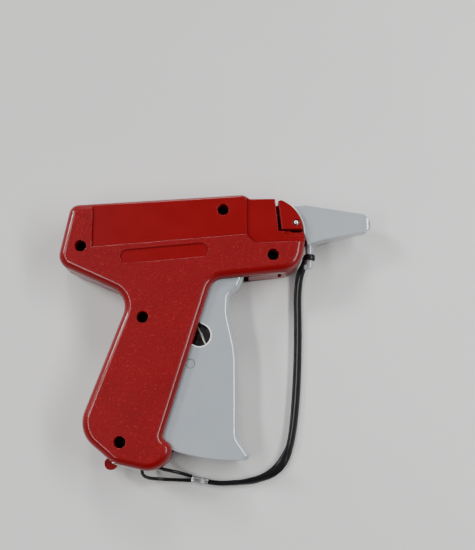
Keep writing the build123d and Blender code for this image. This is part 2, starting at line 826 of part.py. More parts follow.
with BuildPart() as trigger:
    with BuildSketch(Plane.XY.offset(trigger_foot_z)):
        add(trigger_profile.sketch)
    extrude(amount=trigger_width)
    # The finger side is rounded along both cheeks.
    cheek_edges = trigger.edges().group_by(Axis.Z)[0] + trigger.edges().group_by(Axis.Z)[-1]
    front_edges = [e for e in cheek_edges if e.center().X > finger_side_x]
    fillet([e for e in front_edges if e.center().Y < finger_side_y], trigger_round)
    with BuildSketch(Plane.XY.offset(trigger_foot_z + trigger_cheek)):
        add(trigger_hollow.sketch)
        add(trigger_back.sketch)
    extrude(amount=trigger_width - 2 * trigger_cheek, mode=Mode.SUBTRACT)
    # Sleeve round the pivot pin.
    with BuildSketch(Plane.XY.offset(trigger_foot_z)):
        Circle(trigger_hub_radius)
    extrude(amount=trigger_width)
    with BuildSketch(Plane.XY.offset(trigger_foot_z)):
        Circle(trigger_pin_radius + pin_clearance)
    extrude(amount=trigger_width, mode=Mode.SUBTRACT)
    # Way round the lever post, through both cheeks.
    with BuildSketch(Plane.XY.offset(trigger_foot_z)):
        add(post_way.sketch)
    extrude(amount=trigger_width, mode=Mode.SUBTRACT)
    # Blind bores for the drive pin, and the round mark of the mould on each cheek.
    with BuildSketch(Plane.XY.offset(trigger_foot_z + drive_pin_inset)):
        with Locations(drive_pin_rest):
            Circle(drive_pin_radius)
    extrude(amount=trigger_width - 2 * drive_pin_inset, mode=Mode.SUBTRACT)
    for mark_z in (trigger_foot_z, trigger_foot_z + trigger_width - mark_depth):
        with BuildSketch(Plane.XY.offset(mark_z)):
            with Locations(mark_place):
                Circle(mark_radius)
        extrude(amount=mark_depth, mode=Mode.SUBTRACT)
trigger.part.label = "trigger"
export_step(trigger.part, "parts/trigger.step")

with BuildPart() as trigger_drive_pin:
    with BuildSketch(Plane.XY.offset(trigger_foot_z + drive_pin_inset)):
        with Locations(drive_pin_rest):
            Circle(drive_pin_radius)
    extrude(amount=trigger_width - 2 * drive_pin_inset)
trigger_drive_pin.part.label = "trigger_drive_pin"
export_step(trigger_drive_pin.part, "parts/trigger_drive_pin.step")

# --- drive lever ----------------------------------------------------------------------------------


def drive_pin_in_lever(share):
    """Place of the drive pin in the resting lever when that share of the pull is done."""
    place = turned(drive_pin_rest, pivot, -trigger_pull_angle * share)
    return turned(place, lever_pivot, lever_swing * share)


def cross_pin_in_lever(share):
    """Place of the cross pin in the resting lever when that share of the pull is done."""
    place = (slider_rest_x + slider_stroke * share, needle_y)
    return turned(place, lever_pivot, lever_swing * share)


def from_lever_pivot(across, up, lean):
    """The point that far across and up from the lever's pivot, on an arm with that lean."""
    return turned((lever_pivot[0] + across, lever_pivot[1] + up), lever_pivot, lean)


lever_eye = drive_pin_radius + slot_clearance
fork_half_gap = cross_pin_radius + fork_clearance
fork_tip = cross_pin_in_lever(0)
fork_reach = math.dist(fork_tip, lever_pivot) + cross_pin_radius
fork_lean = 180.0 - bearing(fork_tip, lever_pivot)

cam_end = drive_pin_in_lever(1)
cam_path = ThreePointArc(drive_pin_in_lever(0), drive_pin_in_lever(0.5), cam_end)
with BuildSketch() as lever_profile:
    # Lower arm with its cam slot.
    SlotArc(cam_path, (lever_eye + lever_half_width / 2) * 2)
    with Locations(lever_pivot):
        Circle(lever_hub_radius)
    # Web between the hub and the cam slot.
    with BuildLine():
        Polyline(
            from_lever_pivot(-lever_half_width, 0, lever_web_lean),
            from_lever_pivot(lever_half_width, 0, lever_web_lean),
            (cam_end[0] + lever_half_width, cam_end[1]),
            (cam_end[0] - lever_half_width, cam_end[1]),
            close=True,
        )
    make_face()
    # Upper arm.
    with BuildLine():
        Polyline(
            from_lever_pivot(-lever_half_width, 0, fork_lean),
            from_lever_pivot(lever_half_width, 0, fork_lean),
            from_lever_pivot(lever_half_width, fork_reach, fork_lean),
            from_lever_pivot(-lever_half_width, fork_reach, fork_lean),
            close=True,
        )
    make_face()
    # Cam slot and the open fork.
    SlotArc(cam_path, lever_eye * 2, mode=Mode.SUBTRACT)
    with BuildLine():
        Polyline(
            from_lever_pivot(-fork_half_gap, lever_rise - fork_depth, fork_lean),
            from_lever_pivot(fork_half_gap, lever_rise - fork_depth, fork_lean),
            from_lever_pivot(fork_half_gap, far_out, fork_lean),
            from_lever_pivot(-fork_half_gap, far_out, fork_lean),
            close=True,
        )
    make_face(mode=Mode.SUBTRACT)
    with Locations(lever_pivot):
        Circle(lever_pin_radius + pin_clearance, mode=Mode.SUBTRACT)

with BuildPart() as drive_lever:
    with BuildSketch(Plane.XY.offset(lever_foot_z)):
        add(lever_profile.sketch)
    extrude(amount=lever_thickness)
drive_lever.part.label = "drive_lever"
export_step(drive_lever.part, "parts/drive_lever.step")

# --- slider and push rod ---------------------------------------------------------------------------

slider_front_x = slider_rest_x + slider_length / 2
with BuildPart() as slider:
    with BuildSketch(Plane.XY.offset(parting - slider_width / 2)):
        with Locations((slider_rest_x, needle_y)):
            Rectangle(slider_length, slider_height)
    extrude(amount=slider_width)
    # Slot that the fork of the lever swings in.
    with BuildSketch(Plane.XY.offset(parting - post_gap - running_clearance)):
        with Locations((slider_rest_x, needle_y)):
            Rectangle(slider_length - 2 * slider_bridge, slider_height)
    extrude(amount=2 * (post_gap + running_clearance), mode=Mode.SUBTRACT)
    with BuildSketch(Plane.XY.offset(parting - slider_width / 2)):
        with Locations((slider_rest_x, needle_y)):
            Circle(cross_pin_radius)
    extrude(amount=slider_width, mode=Mode.SUBTRACT)
    with BuildSketch(Plane.YZ.offset(slider_front_x - slider_bridge)):
        with Locations((needle_y, parting)):
            Circle(push_rod_radius)
    extrude(amount=slider_bridge, mode=Mode.SUBTRACT)
slider.part.label = "slider"
export_step(slider.part, "parts/slider.step")

with BuildPart() as slider_cross_pin:
    with BuildSketch(Plane.XY.offset(parting - slider_width / 2)):
        with Locations((slider_rest_x, needle_y)):
            Circle(cross_pin_radius)
    extrude(amount=slider_width)
slider_cross_pin.part.label = "slider_cross_pin"
export_step(slider_cross_pin.part, "parts/slider_cross_pin.step")

with BuildPart() as push_rod:
    with BuildSketch(Plane.YZ.offset(slider_front_x - slider_bridge)):
        with Locations((needle_y, parting)):
            Circle(push_rod_radius)
    extrude(amount=push_rod_reach - slider_front_x + slider_bridge)
push_rod.part.label = "push_rod"
export_step(push_rod.part, "parts/push_rod.step")

# --- needle, its base, and the blade ---------------------------------------------------------------

with BuildPart() as needle:
    with BuildSketch(Plane.YZ.offset(needle_start_x)):
        with Locations((needle_y, parting)):
            Circle(needle_outer_radius)
            Circle(needle_bore_radius, mode=Mode.SUBTRACT)
    extrude(amount=needle_tip_x - needle_start_x)
    # Slot along the whole needle, and the slanted point.
    with BuildSketch(Plane.XY.offset(parting - needle_slot / 2)):
        with Locations((needle_start_x, needle_y)):
            Rectangle(far_out, needle_outer_radius * 2, align=(Align.MIN, Align.MAX))
    extrude(amount=needle_slot, mode=Mode.SUBTRACT)
    with BuildSketch(Plane.XY.offset(parting - needle_outer_radius)):
        with BuildLine():
            Polyline(
                (needle_tip_x, needle_y + needle_outer_radius),
                (needle_tip_x - needle_point, needle_y - needle_outer_radius),
                (needle_tip_x, needle_y - needle_outer_radius),
                close=True,
            )
        make_face()
    extrude(amount=needle_outer_radius * 2, mode=Mode.SUBTRACT)
needle.part.label = "needle"
export_step(needle.part, "parts/needle.step")

with BuildPart() as needle_base:
    with BuildSketch(Plane.XY.offset(base_foot_z)):
        with Locations((base_start_x, needle_y)):
            Rectangle(base_length, base_height, align=(Align.MIN, Align.CENTER))
    extrude(amount=base_top_z - base_foot_z)
    with BuildSketch(Plane.YZ.offset(base_start_x + base_length)):
        with Locations((needle_y, parting)):
            Circle(hub_radius)
    extrude(amount=hub_end_x - base_start_x - base_length)
    chamfer(needle_base.faces().sort_by(Axis.X)[-1].edges(), hub_chamfer)
    with BuildSketch(Plane.YZ.offset(base_start_x)):
        with Locations((needle_y, parting)):
            Circle(needle_outer_radius)
    extrude(amount=far_out, mode=Mode.SUBTRACT)
    with BuildSketch(Plane.XY.offset(parting - needle_slot / 2)):
        with Locations((base_start_x, needle_y)):
            Rectangle(far_out, far_out, align=(Align.MIN, Align.MAX))
    extrude(amount=needle_slot, mode=Mode.SUBTRACT)
    with BuildSketch(Plane.XY.offset(lock_foot_end_z - running_clearance)):
        add(foot_way.sketch)
    extrude(amount=parting, mode=Mode.SUBTRACT)
needle_base.part.label = "needle_base"
export_step(needle_base.part, "parts/needle_base.step")

with BuildPart() as cutter_blade:
    with BuildSketch(Plane.YZ.offset(channel_foot_x + channel_width)):
        with Locations((slit_y, parting)):
            Rectangle(blade_height, blade_depth, align=(Align.MAX, Align.MAX))
    extrude(amount=blade_thickness)
    chamfer(cutter_blade.edges().filter_by(Axis.Z).sort_by(Axis.Y)[-1], blade_edge)
cutter_blade.part.label = "cutter_blade"
export_step(cutter_blade.part, "parts/cutter_blade.step")

# --- lock lever -------------------------------------------------------------------------------------

lock_rear_top_x = channel_top_x + channel_width
lock_rear_foot_x = channel_foot_x + channel_width
lock_crown = on_nose(0, lock_crown_bearing)
with BuildPart() as lock_lever:
    with BuildSketch(Plane.XY.offset(lock_plate_foot)):
        with BuildLine():
            RadiusArc(lock_crown, lock_front_foot, nose_arc_radius)
            Polyline(
                lock_front_foot,
                (lock_rear_foot_x, lock_foot_y),
                (lock_rear_top_x, lock_crown[1] - lock_crown_step),
                lock_crown,
            )
        make_face()
    extrude(amount=lock_plate_top - lock_plate_foot)
    fillet(lock_lever.edges().filter_by(Axis.Z).sort_by(Axis.X)[:1], lock_corner_round)
    with BuildSketch(Plane.XY.offset(lock_plate_foot)):
        with Locations(lock_foot_place):
            Circle(lock_foot_radius)
    extrude(amount=lock_foot_end_z - lock_plate_foot)
    with BuildSketch(Plane.XY.offset(lock_plate_foot)):
        with Locations(lock_pivot):
            Circle(lock_pin_radius + pin_clearance)
    extrude(amount=lock_plate_top - lock_plate_foot, mode=Mode.SUBTRACT)
lock_lever.part.label = "lock_lever"
export_step(lock_lever.part, "parts/lock_lever.step")

with BuildPart() as lock_lever_pin:
    with BuildSketch(Plane.XY.offset(base_top_z + pin_clearance)):
        with Locations(lock_pivot):
            Circle(lock_pin_radius)
    extrude(amount=lock_plate_top + running_clearance - base_top_z - pin_clearance)
    fillet(lock_lever_pin.edges().group_by(Axis.Z)[-1], lock_pin_dome)
lock_lever_pin.part.label = "lock_lever_pin"
export_step(lock_lever_pin.part, "parts/lock_lever_pin.step")

# --- feed wheel, pawl and its leaf spring ---------------------------------------------------------

tooth_pitch = 360.0 / wheel_teeth
tooth_foot_reach = wheel_root_radius * 0.9
tooth_tip_reach = wheel_tip_radius * 0.99


def on_wheel(reach, across, lean):
    """The point at that reach and that far across on a tooth turned by lean."""
    return turned((wheel_centre[0] + reach, wheel_centre[1] + across), wheel_centre, lean)


with BuildPart() as feed_wheel:
    with BuildSketch(Plane.XY.offset(wheel_foot_z)):
        with Locations(wheel_centre):
            Circle(wheel_root_radius)
        for tooth in range(wheel_teeth):
            with BuildLine():
                Polyline(
                    on_wheel(tooth_foot_reach, -tooth_foot_width, tooth * tooth_pitch),
                    on_wheel(tooth_tip_reach, -tooth_tip_width, tooth * tooth_pitch),
                    on_wheel(tooth_tip_reach, tooth_tip_width, tooth * tooth_pitch),
                    on_wheel(tooth_foot_reach, tooth_tip_width, tooth * tooth_pitch),
                    close=True,
                )
            make_face()
        with Locations(wheel_centre):
            Circle(wheel_axle_radius + pin_clearance, mode=Mode.SUBTRACT)
    extrude(amount=wheel_thickness)
feed_wheel.part.label = "feed_wheel"
export_step(feed_wheel.part, "parts/feed_wheel.step")

with BuildPart() as feed_pawl:
    with BuildSketch(Plane.XY.offset(wheel_foot_z)):
        with Locations(pawl_pivot):
            Circle(pawl_width)
        with BuildLine():
            Polyline(
                (pawl_pivot[0], pawl_pivot[1] + pawl_width),
                (pawl_tip[0], pawl_tip[1] + pawl_tip_width),
                (pawl_tip[0], pawl_tip[1] - pawl_tip_width),
                (pawl_pivot[0], pawl_pivot[1] - pawl_width),
                close=True,
            )
        make_face()
        with Locations(pawl_pivot):
            Circle(wheel_axle_radius + pin_clearance, mode=Mode.SUBTRACT)
    extrude(amount=pawl_thickness)
feed_pawl.part.label = "feed_pawl"
export_step(feed_pawl.part, "parts/feed_pawl.step")

roof_y = body_corners[1][0][1] - rim_wall
spring_touch_x = pawl_pivot[0] + pawl_spring_reach
pawl_top_y = pawl_pivot[1] + pawl_width
with BuildPart() as pawl_spring:
    with BuildSketch(Plane.XY.offset(wheel_foot_z)):
        with BuildLine():
            Polyline(
                (pawl_spring_root_x, roof_y),
                (pawl_spring_root_x, roof_y - pawl_spring_bend),
                (spring_touch_x, pawl_top_y - pawl_spring_thickness),
                (spring_touch_x, pawl_top_y),
                (pawl_spring_root_x - pawl_spring_thickness, roof_y - pawl_spring_bend * 0.8),
                (pawl_spring_root_x - pawl_spring_thickness, roof_y),
                close=True,
            )
        make_face()
    extrude(amount=pawl_thickness)
pawl_spring.part.label = "pawl_spring"
export_step(pawl_spring.part, "parts/pawl_spring.step")

# --- return spring ------------------------------------------------------------------------------------

spring_top_z = spring_foot_z + spring_turns * spring_pitch
coil_side = (spring_coil_centre[0] + spring_coil_radius - spring_leg_inset, spring_coil_centre[1])
with BuildPart() as return_spring:
    with BuildSketch(Plane.XY.offset(spring_foot_z - spring_wire / 2)):
        with Locations(spring_coil_centre):
            Circle(spring_coil_radius + spring_wire / 2)
            Circle(spring_coil_radius - spring_wire / 2, mode=Mode.SUBTRACT)
    extrude(amount=spring_top_z - spring_foot_z)
    # Leg that pushes the trigger forward.
    leg_start = (*turned(coil_side, spring_coil_centre, spring_leg_bearing), spring_foot_z)
    with BuildLine():
        leg = Line(leg_start, (spring_leg_end[0], spring_leg_end[1], spring_foot_z))
    with BuildSketch(Plane(origin=leg @ 0, z_dir=leg % 0)):
        Circle(spring_wire / 2)
    extrude(amount=leg.length)
    # Leg that rests on the housing.
    rest_z = spring_top_z - spring_wire
    rest_start = (spring_coil_centre[0], spring_coil_centre[1] + spring_coil_radius, rest_z)
    with BuildSketch(Plane(origin=rest_start, z_dir=(-1, 0, 0))):
        Circle(spring_wire / 2)
    extrude(amount=spring_rest_leg)
return_spring.part.label = "return_spring"
export_step(return_spring.part, "parts/return_spring.step")

# --- needle cap ----------------------------------------------------------------------------------------

cap_mouth_radius = nose_arc_radius + cap_mouth_gap
cap_start_x = cap_corners[0][0][0]
cap_tip_x = cap_corners[3][0][0]
cap_shoulder = cap_start_x + cap_shoulder_x
cap_foot_y = cap_corners[-1][0][1]
with BuildSketch() as cap_outline:
    with BuildLine():
        FilletPolyline(*[c[0] for c in cap_corners], radius=[c[1] for c in cap_corners][1:-1])
        Line(cap_corners[-1][0], cap_corners[0][0])
    make_face()
with BuildSketch() as cap_inline:
    add(cap_outline.sketch)
    offset(amount=-cap_wall)
    with BuildLine():
        Polyline(
            (cap_start_x - 2, cap_foot_y + cap_wall),
            (nose_x + 0.7, cap_foot_y + cap_wall),
            (nose_x + 0.7, cap_corners[0][0][1] - cap_wall),
            (cap_start_x - 2, cap_corners[0][0][1] - cap_wall),
            close=True,
        )
    make_face()
with BuildSketch() as mouth_waste:
    Rectangle(far_out, far_out, align=(Align.MAX, Align.CENTER))
    with Locations(nose_arc_centre):
        Circle(cap_mouth_radius)
    with BuildLine():
        Polyline(
            nose_arc_centre,
            (nose_arc_centre[0] + cap_mouth_radius, nose_arc_centre[1]),
            (nose_arc_centre[0] + cap_mouth_radius + chin_reach, chin_top_y),
            (nose_arc_centre[0] + cap_mouth_radius + chin_reach, -far_out),
            (nose_arc_centre[0], -far_out),
            close=True,
        )
    make_face()
with BuildSketch(Plane.XZ) as cap_side:
    with BuildLine():
        Polyline(
            (0, parting - cap_half_width),
            (cap_shoulder, parting - cap_half_width),
            (cap_tip_x - cap_slope_end, parting - cap_slope_half_width),
            (cap_tip_x, parting - cap_tip_half_width),
            (cap_tip_x, parting + cap_tip_half_width),
            (cap_tip_x - cap_slope_end, parting + cap_slope_half_width),
            (cap_shoulder, parting + cap_half_width),
            (0, parting + cap_half_width),
            close=True,
        )
    make_face()
with BuildSketch(Plane.XZ) as cap_side_inner:
    with BuildLine():
        Polyline(
            (0, parting - cap_half_width + cap_wall),
            (cap_shoulder, parting - cap_half_width + cap_wall),
            (cap_tip_x - cap_slope_end, parting - cap_slope_half_width + cap_tip_wall),
            (cap_tip_x - cap_slope_end, parting + cap_slope_half_width - cap_tip_wall),
            (cap_shoulder, parting + cap_half_width - cap_wall),
            (0, parting + cap_half_width - cap_wall),
            close=True,
        )
    make_face()

with BuildPart() as cap_space:
    with BuildSketch(Plane.XY):
        add(cap_inline.sketch)
    extrude(amount=body_thickness)
    extrude(cap_side_inner.sketch, amount=far_out, both=True, mode=Mode.INTERSECT)

with BuildPart() as needle_cap:
    with BuildSketch(Plane.XY):
        add(cap_outline.sketch)
    extrude(amount=body_thickness)
    extrude(cap_side.sketch, amount=far_out, both=True, mode=Mode.INTERSECT)
    add(cap_space.part, mode=Mode.SUBTRACT)
    with BuildSketch(Plane.XY):
        add(mouth_waste.sketch)
    extrude(amount=body_thickness, mode=Mode.SUBTRACT)
    # Cradle under the hub of the needle base, standing on the foot wall of the cap.
    cradle_height = needle_y - cap_foot_y - cap_wall - cap_cradle_gap
    cradle_width = cap_half_width * 2 - cap_wall
    with BuildSketch(Plane.YZ.offset(hub_end_x - cap_grip_length)):
        with Locations((needle_y, parting)):
            Rectangle(cradle_height, cradle_width, align=(Align.MAX, Align.CENTER))
            Circle(hub_radius + pin_clearance, mode=Mode.SUBTRACT)
    extrude(amount=cap_grip_length - cap_cradle_gap)
    # Peg for the strap, with its small foot.
    with BuildSketch(Plane.XZ.offset(-cap_foot_y - cap_wall)):
        with Locations((cap_peg_x, parting)):
            Circle(cap_peg_radius)
    extrude(amount=cap_foot_y + cap_wall - cap_peg_foot_y)
    foot_length = cap_peg_radius + cap_peg_foot_reach
    with BuildSketch(Plane.XZ.offset(-cap_peg_foot_y - cap_peg_foot_height)):
        with Locations((cap_peg_x - foot_length / 2, parting)):
            Rectangle(foot_length, cap_peg_radius * 1.4)
    extrude(amount=cap_peg_foot_height)
needle_cap.part.label = "needle_cap"
export_step(needle_cap.part, "parts/needle_cap.step")

with BuildPart() as cap_ring:
    with BuildSketch(Plane.XZ.offset(-ring_y - ring_height / 2)):
        with Locations((cap_peg_x, parting)):
            Circle(ring_radius)
            Circle(cap_peg_radius, mode=Mode.SUBTRACT)
    extrude(amount=ring_height)
cap_ring.part.label = "cap_ring"
export_step(cap_ring.part, "parts/cap_ring.step")

# --- strap, crimp, loop and bar ------------------------------------------------------------------------


def bend_radii(points):
    """The largest arc that both runs at each corner leave room for."""
    radii = []
    for before, at, after in zip(points, points[1:], points[2:]):
        first = Vector(*at) - Vector(*before)
        second = Vector(*after) - Vector(*at)
        turn = math.radians(first.get_angle(second))
        radii.append(0.45 * min(first.length, second.length) / math.tan(turn / 2))
    return radii


strap_radii = bend_radii(strap_points)
print("strap radii", [round(r, 1) for r in strap_radii])
with BuildPart() as strap:
    with BuildLine():
        strap_route = FilletPolyline(*strap_points, radius=strap_radii)
    with BuildSketch(Plane(origin=strap_route @ 0, z_dir=strap_route % 0)):
        Circle(strap_diameter / 2)
    sweep()
strap_length = strap_route.length
print("strap length", round(strap_length, 1))
strap_section = math.pi * strap_diameter**2 / 4
print("strap volume", round(strap.part.volume, 1), round(strap_length * strap_section, 1))
strap.part.label = "strap"
export_step(strap.part, "parts/strap.step")

strap_end = Vector(*strap_points[-1])
strap_heading = (strap_end - Vector(*strap_points[-2])).normalized()
with BuildPart() as strap_crimp:
    with BuildSketch(Plane(origin=strap_end, x_dir=(0, 0, 1), z_dir=strap_heading)):
        RectangleRounded(crimp_height, crimp_width, crimp_corner)
    extrude(amount=crimp_length)
strap_crimp.part.label = "strap_crimp"
export_step(strap_crimp.part, "parts/strap_crimp.step")

loop_radii = bend_radii(loop_points)
print("loop radii", [round(r, 1) for r in loop_radii])
with BuildPart() as handle_loop:
    with BuildLine():
        loop_route = FilletPolyline(*loop_points, radius=loop_radii)
    with BuildSketch(Plane(origin=loop_route @ 0, z_dir=loop_route % 0)):
        Circle(loop_diameter / 2)
    sweep()
loop_length = loop_route.length
print("loop length", round(loop_length, 1))
loop_section = math.pi * loop_diameter**2 / 4
print("loop volume", round(handle_loop.part.volume, 1), round(loop_length * loop_section, 1))
handle_loop.part.label = "handle_loop"
export_step(handle_loop.part, "parts/handle_loop.step")
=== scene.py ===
# %% [markdown]
# # A garment tag attacher in Blender
# This hand tool pushes plastic tag pins through cloth with a hollow needle.
# The solid model of the tool is already made. It is loaded here as a frame that stays as it is.
# What follows gives that frame its finishes, and adds the pieces that a solid model leaves plain.

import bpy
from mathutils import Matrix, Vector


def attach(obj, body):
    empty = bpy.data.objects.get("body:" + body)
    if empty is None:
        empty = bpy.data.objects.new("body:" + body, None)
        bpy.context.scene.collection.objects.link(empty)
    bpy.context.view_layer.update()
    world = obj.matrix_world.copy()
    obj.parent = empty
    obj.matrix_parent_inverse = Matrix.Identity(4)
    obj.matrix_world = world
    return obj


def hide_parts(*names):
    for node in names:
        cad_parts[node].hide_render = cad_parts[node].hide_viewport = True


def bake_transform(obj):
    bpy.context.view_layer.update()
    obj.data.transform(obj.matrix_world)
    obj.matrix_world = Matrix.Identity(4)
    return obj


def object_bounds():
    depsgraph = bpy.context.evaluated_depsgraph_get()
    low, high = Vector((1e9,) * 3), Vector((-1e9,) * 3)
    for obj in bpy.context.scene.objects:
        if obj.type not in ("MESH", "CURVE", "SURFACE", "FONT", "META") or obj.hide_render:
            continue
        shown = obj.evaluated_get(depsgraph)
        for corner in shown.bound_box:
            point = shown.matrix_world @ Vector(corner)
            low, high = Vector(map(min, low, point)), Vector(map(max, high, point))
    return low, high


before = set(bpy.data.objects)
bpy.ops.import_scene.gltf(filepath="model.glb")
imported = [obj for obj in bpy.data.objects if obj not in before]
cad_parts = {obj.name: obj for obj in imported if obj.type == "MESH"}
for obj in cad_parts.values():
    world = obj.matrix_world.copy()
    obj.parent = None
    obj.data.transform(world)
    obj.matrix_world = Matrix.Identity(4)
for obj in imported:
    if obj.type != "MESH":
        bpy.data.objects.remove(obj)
cad_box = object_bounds()

# %% [markdown]
# Everything is measured in metres, but a maker thinks of a tool this size in millimetres.
# One small function turns a point in millimetres into a Blender vector, so the numbers below
# can be compared with a ruler.

# %% Tools and units
import math

import bmesh
import bpy
from mathutils import Matrix, Vector

MM = 0.001


def mm(x, y, z=0.0):
    """A point given in millimetres."""
    return Vector((x, y, z)) * MM


cad_size = [round((high - low) / MM, 1) for low, high in zip(*cad_box)]
print("size of the solid model in mm:", cad_size)

# %% [markdown]
# The camera looks almost straight down on the tool, tipped ten degrees towards the handle.
# It stands about half a metre away, as a person would hold a camera over a table, and a
# slightly long lens keeps the lines of the body straight.

# %% Camera
camera_target = mm(0.733, -6.454, 12.0)
camera_elevation = math.radians(80)
camera_distance = 480 * MM
towards_camera = Vector((0, -math.cos(camera_elevation), math.sin(camera_elevation)))
camera = bpy.data.objects.new("camera", bpy.data.cameras.new("camera"))
camera.data.sensor_width = 36
camera.data.lens = 64.4
camera.data.clip_start = 0.01
camera.location = camera_target + towards_camera * camera_distance
camera.rotation_euler = (-towards_camera).to_track_quat("-Z", "Y").to_euler()
bpy.context.scene.collection.objects.link(camera)
bpy.context.scene.camera = camera
print("camera stands at (mm):", [round(c / MM) for c in camera.location])

# %% [markdown]
# ## The strap and its loop
# A flexible strap ties the needle cap to the tool, so that the cap isn't lost.
# It leaves an eye on the cap's peg, drops to the table, and runs in one wide bow to a metal
# crimp under the handle. There a thinner cord goes round a steel bar and comes back.
# A Bezier curve would need two handles at every point. A NURBS curve needs the points alone,
# and passes near them without corners, as a soft line does.

# %% Routes of the two cords
strap_points = [
    (34.1, 1.9, 8.5),
    (33.2, -1.1, 5.0),
    (31.6, -5.4, 2.6),
    (30.4, -15.0, 1.9),
    (30.6, -30.0, 1.9),
    (30.2, -48.0, 1.9),
    (29.2, -66.0, 1.9),
    (27.4, -83.4, 2.1),
    (24.6, -93.4, 2.0),
    (18.6, -101.3, 1.7),
    (8.4, -105.2, 1.7),
    (-2.0, -106.1, 2.2),
    (-9.0, -106.3, 2.3),
    (-13.4, -105.5, 1.9),
]
loop_points = [
    (-21.2, -103.0, 1.9),
    (-26.0, -101.5, 2.8),
    (-31.4, -100.2, 5.2),
    (-35.4, -99.4, 8.4),
    (-39.0, -96.6, 10.6),
    (-42.0, -96.8, 13.6),
    (-44.2, -99.4, 14.2),
    (-44.0, -102.3, 11.4),
    (-41.6, -103.7, 7.2),
    (-37.0, -104.2, 3.6),
    (-31.0, -104.6, 2.1),
    (-21.45, -104.9, 1.9),
]


def smooth_route(name, points):
    """The places along the soft line that follows the control points, in order."""
    curve = bpy.data.curves.new(name, "CURVE")
    curve.dimensions = "3D"
    spline = curve.splines.new("NURBS")
    spline.points.add(len(points) - 1)
    for knot, point in zip(spline.points, points):
        knot.co = (*mm(*point), 1)
    spline.order_u = 3
    spline.use_endpoint_u = True
    spline.resolution_u = 12
    line = bpy.data.objects.new(name, curve)
    bpy.context.scene.collection.objects.link(line)
    mesh = bpy.data.meshes.new_from_object(line)
    places = [corner.co.copy() for corner in mesh.vertices]
    bpy.data.meshes.remove(mesh)
    bpy.data.objects.remove(line)
    return places


def length_of(places):
    """Length of the line through the places."""
    return sum((after - before).length for before, after in zip(places, places[1:]))


strap_path = smooth_route("strap_line", strap_points)
loop_path = smooth_route("loop_line", loop_points)
print("strap:", round(length_of(strap_path) / MM, 1), "mm in", len(strap_path), "points")
print("loop:", round(length_of(loop_path) / MM, 1), "mm in", len(loop_path), "points")

# %% [markdown]
# ## How the finishes are written
# A material is a small network of nodes. Reading such a network is hard when each node takes
# five lines, so a class wraps a socket and lets ordinary arithmetic add the Math nodes.
# Each operator has its reflected form too, which is what makes 1 - mask work.
# Colours go through a Mix node, because a Math node would turn them grey.

# %% Arithmetic on sockets
class Value:
    """A shader socket that plain arithmetic works on."""

    def __init__(self, network, socket):
        self.network = network
        self.socket = socket

    def math_node(self, operation, first, second):
        return self.network.node("ShaderNodeMath", {"operation": operation}, {0: first, 1: second})

    def __add__(self, other):
        return self.math_node("ADD", self, other)

    def __radd__(self, other):
        return self.math_node("ADD", other, self)

    def __sub__(self, other):
        return self.math_node("SUBTRACT", self, other)

    def __rsub__(self, other):
        return self.math_node("SUBTRACT", other, self)

    def __mul__(self, other):
        return self.math_node("MULTIPLY", self, other)

    def __rmul__(self, other):
        return self.math_node("MULTIPLY", other, self)

    def __gt__(self, other):
        return self.math_node("GREATER_THAN", self, other)

    def __lt__(self, other):
        return self.math_node("LESS_THAN", self, other)


# %% [markdown]
# A material holds such a network, and so does the room round the scene. All other kinds of
# node come from one method. It takes a node's type, then its settings, which have to be there
# before the sockets are used, and then the values or links of those sockets.

# %% A class for networks
class Network:
    """The nodes of one material, or of the world."""

    def __init__(self, owner):
        owner.use_nodes = True
        self.tree = owner.node_tree

    def plug(self, socket, value):
        """Links a value to a socket, or sets the socket to a number or a colour."""
        if isinstance(value, Value):
            self.tree.links.new(value.socket, socket)
        else:
            socket.default_value = value

    def node(self, kind, settings, values, output=0):
        """Adds a node: its type, its settings first, then the values or links of its sockets."""
        made = self.tree.nodes.new(kind)
        for name, setting in settings.items():
            if name == "stops":
                for stop, (place, colour) in zip(made.color_ramp.elements, setting):
                    stop.position = place
                    stop.color = colour
            else:
                setattr(made, name, setting)
        for name, value in values.items():
            self.plug(made.inputs[name], value)
        return Value(self, made.outputs[output])


# %% [markdown]
# A finish is the network of one material. Values that are the same everywhere are set on the
# shader's own sockets. Only what changes over the surface gets nodes: noise for grain and
# clouds, a ramp for a mask, a mix for colours, and a bump for relief.

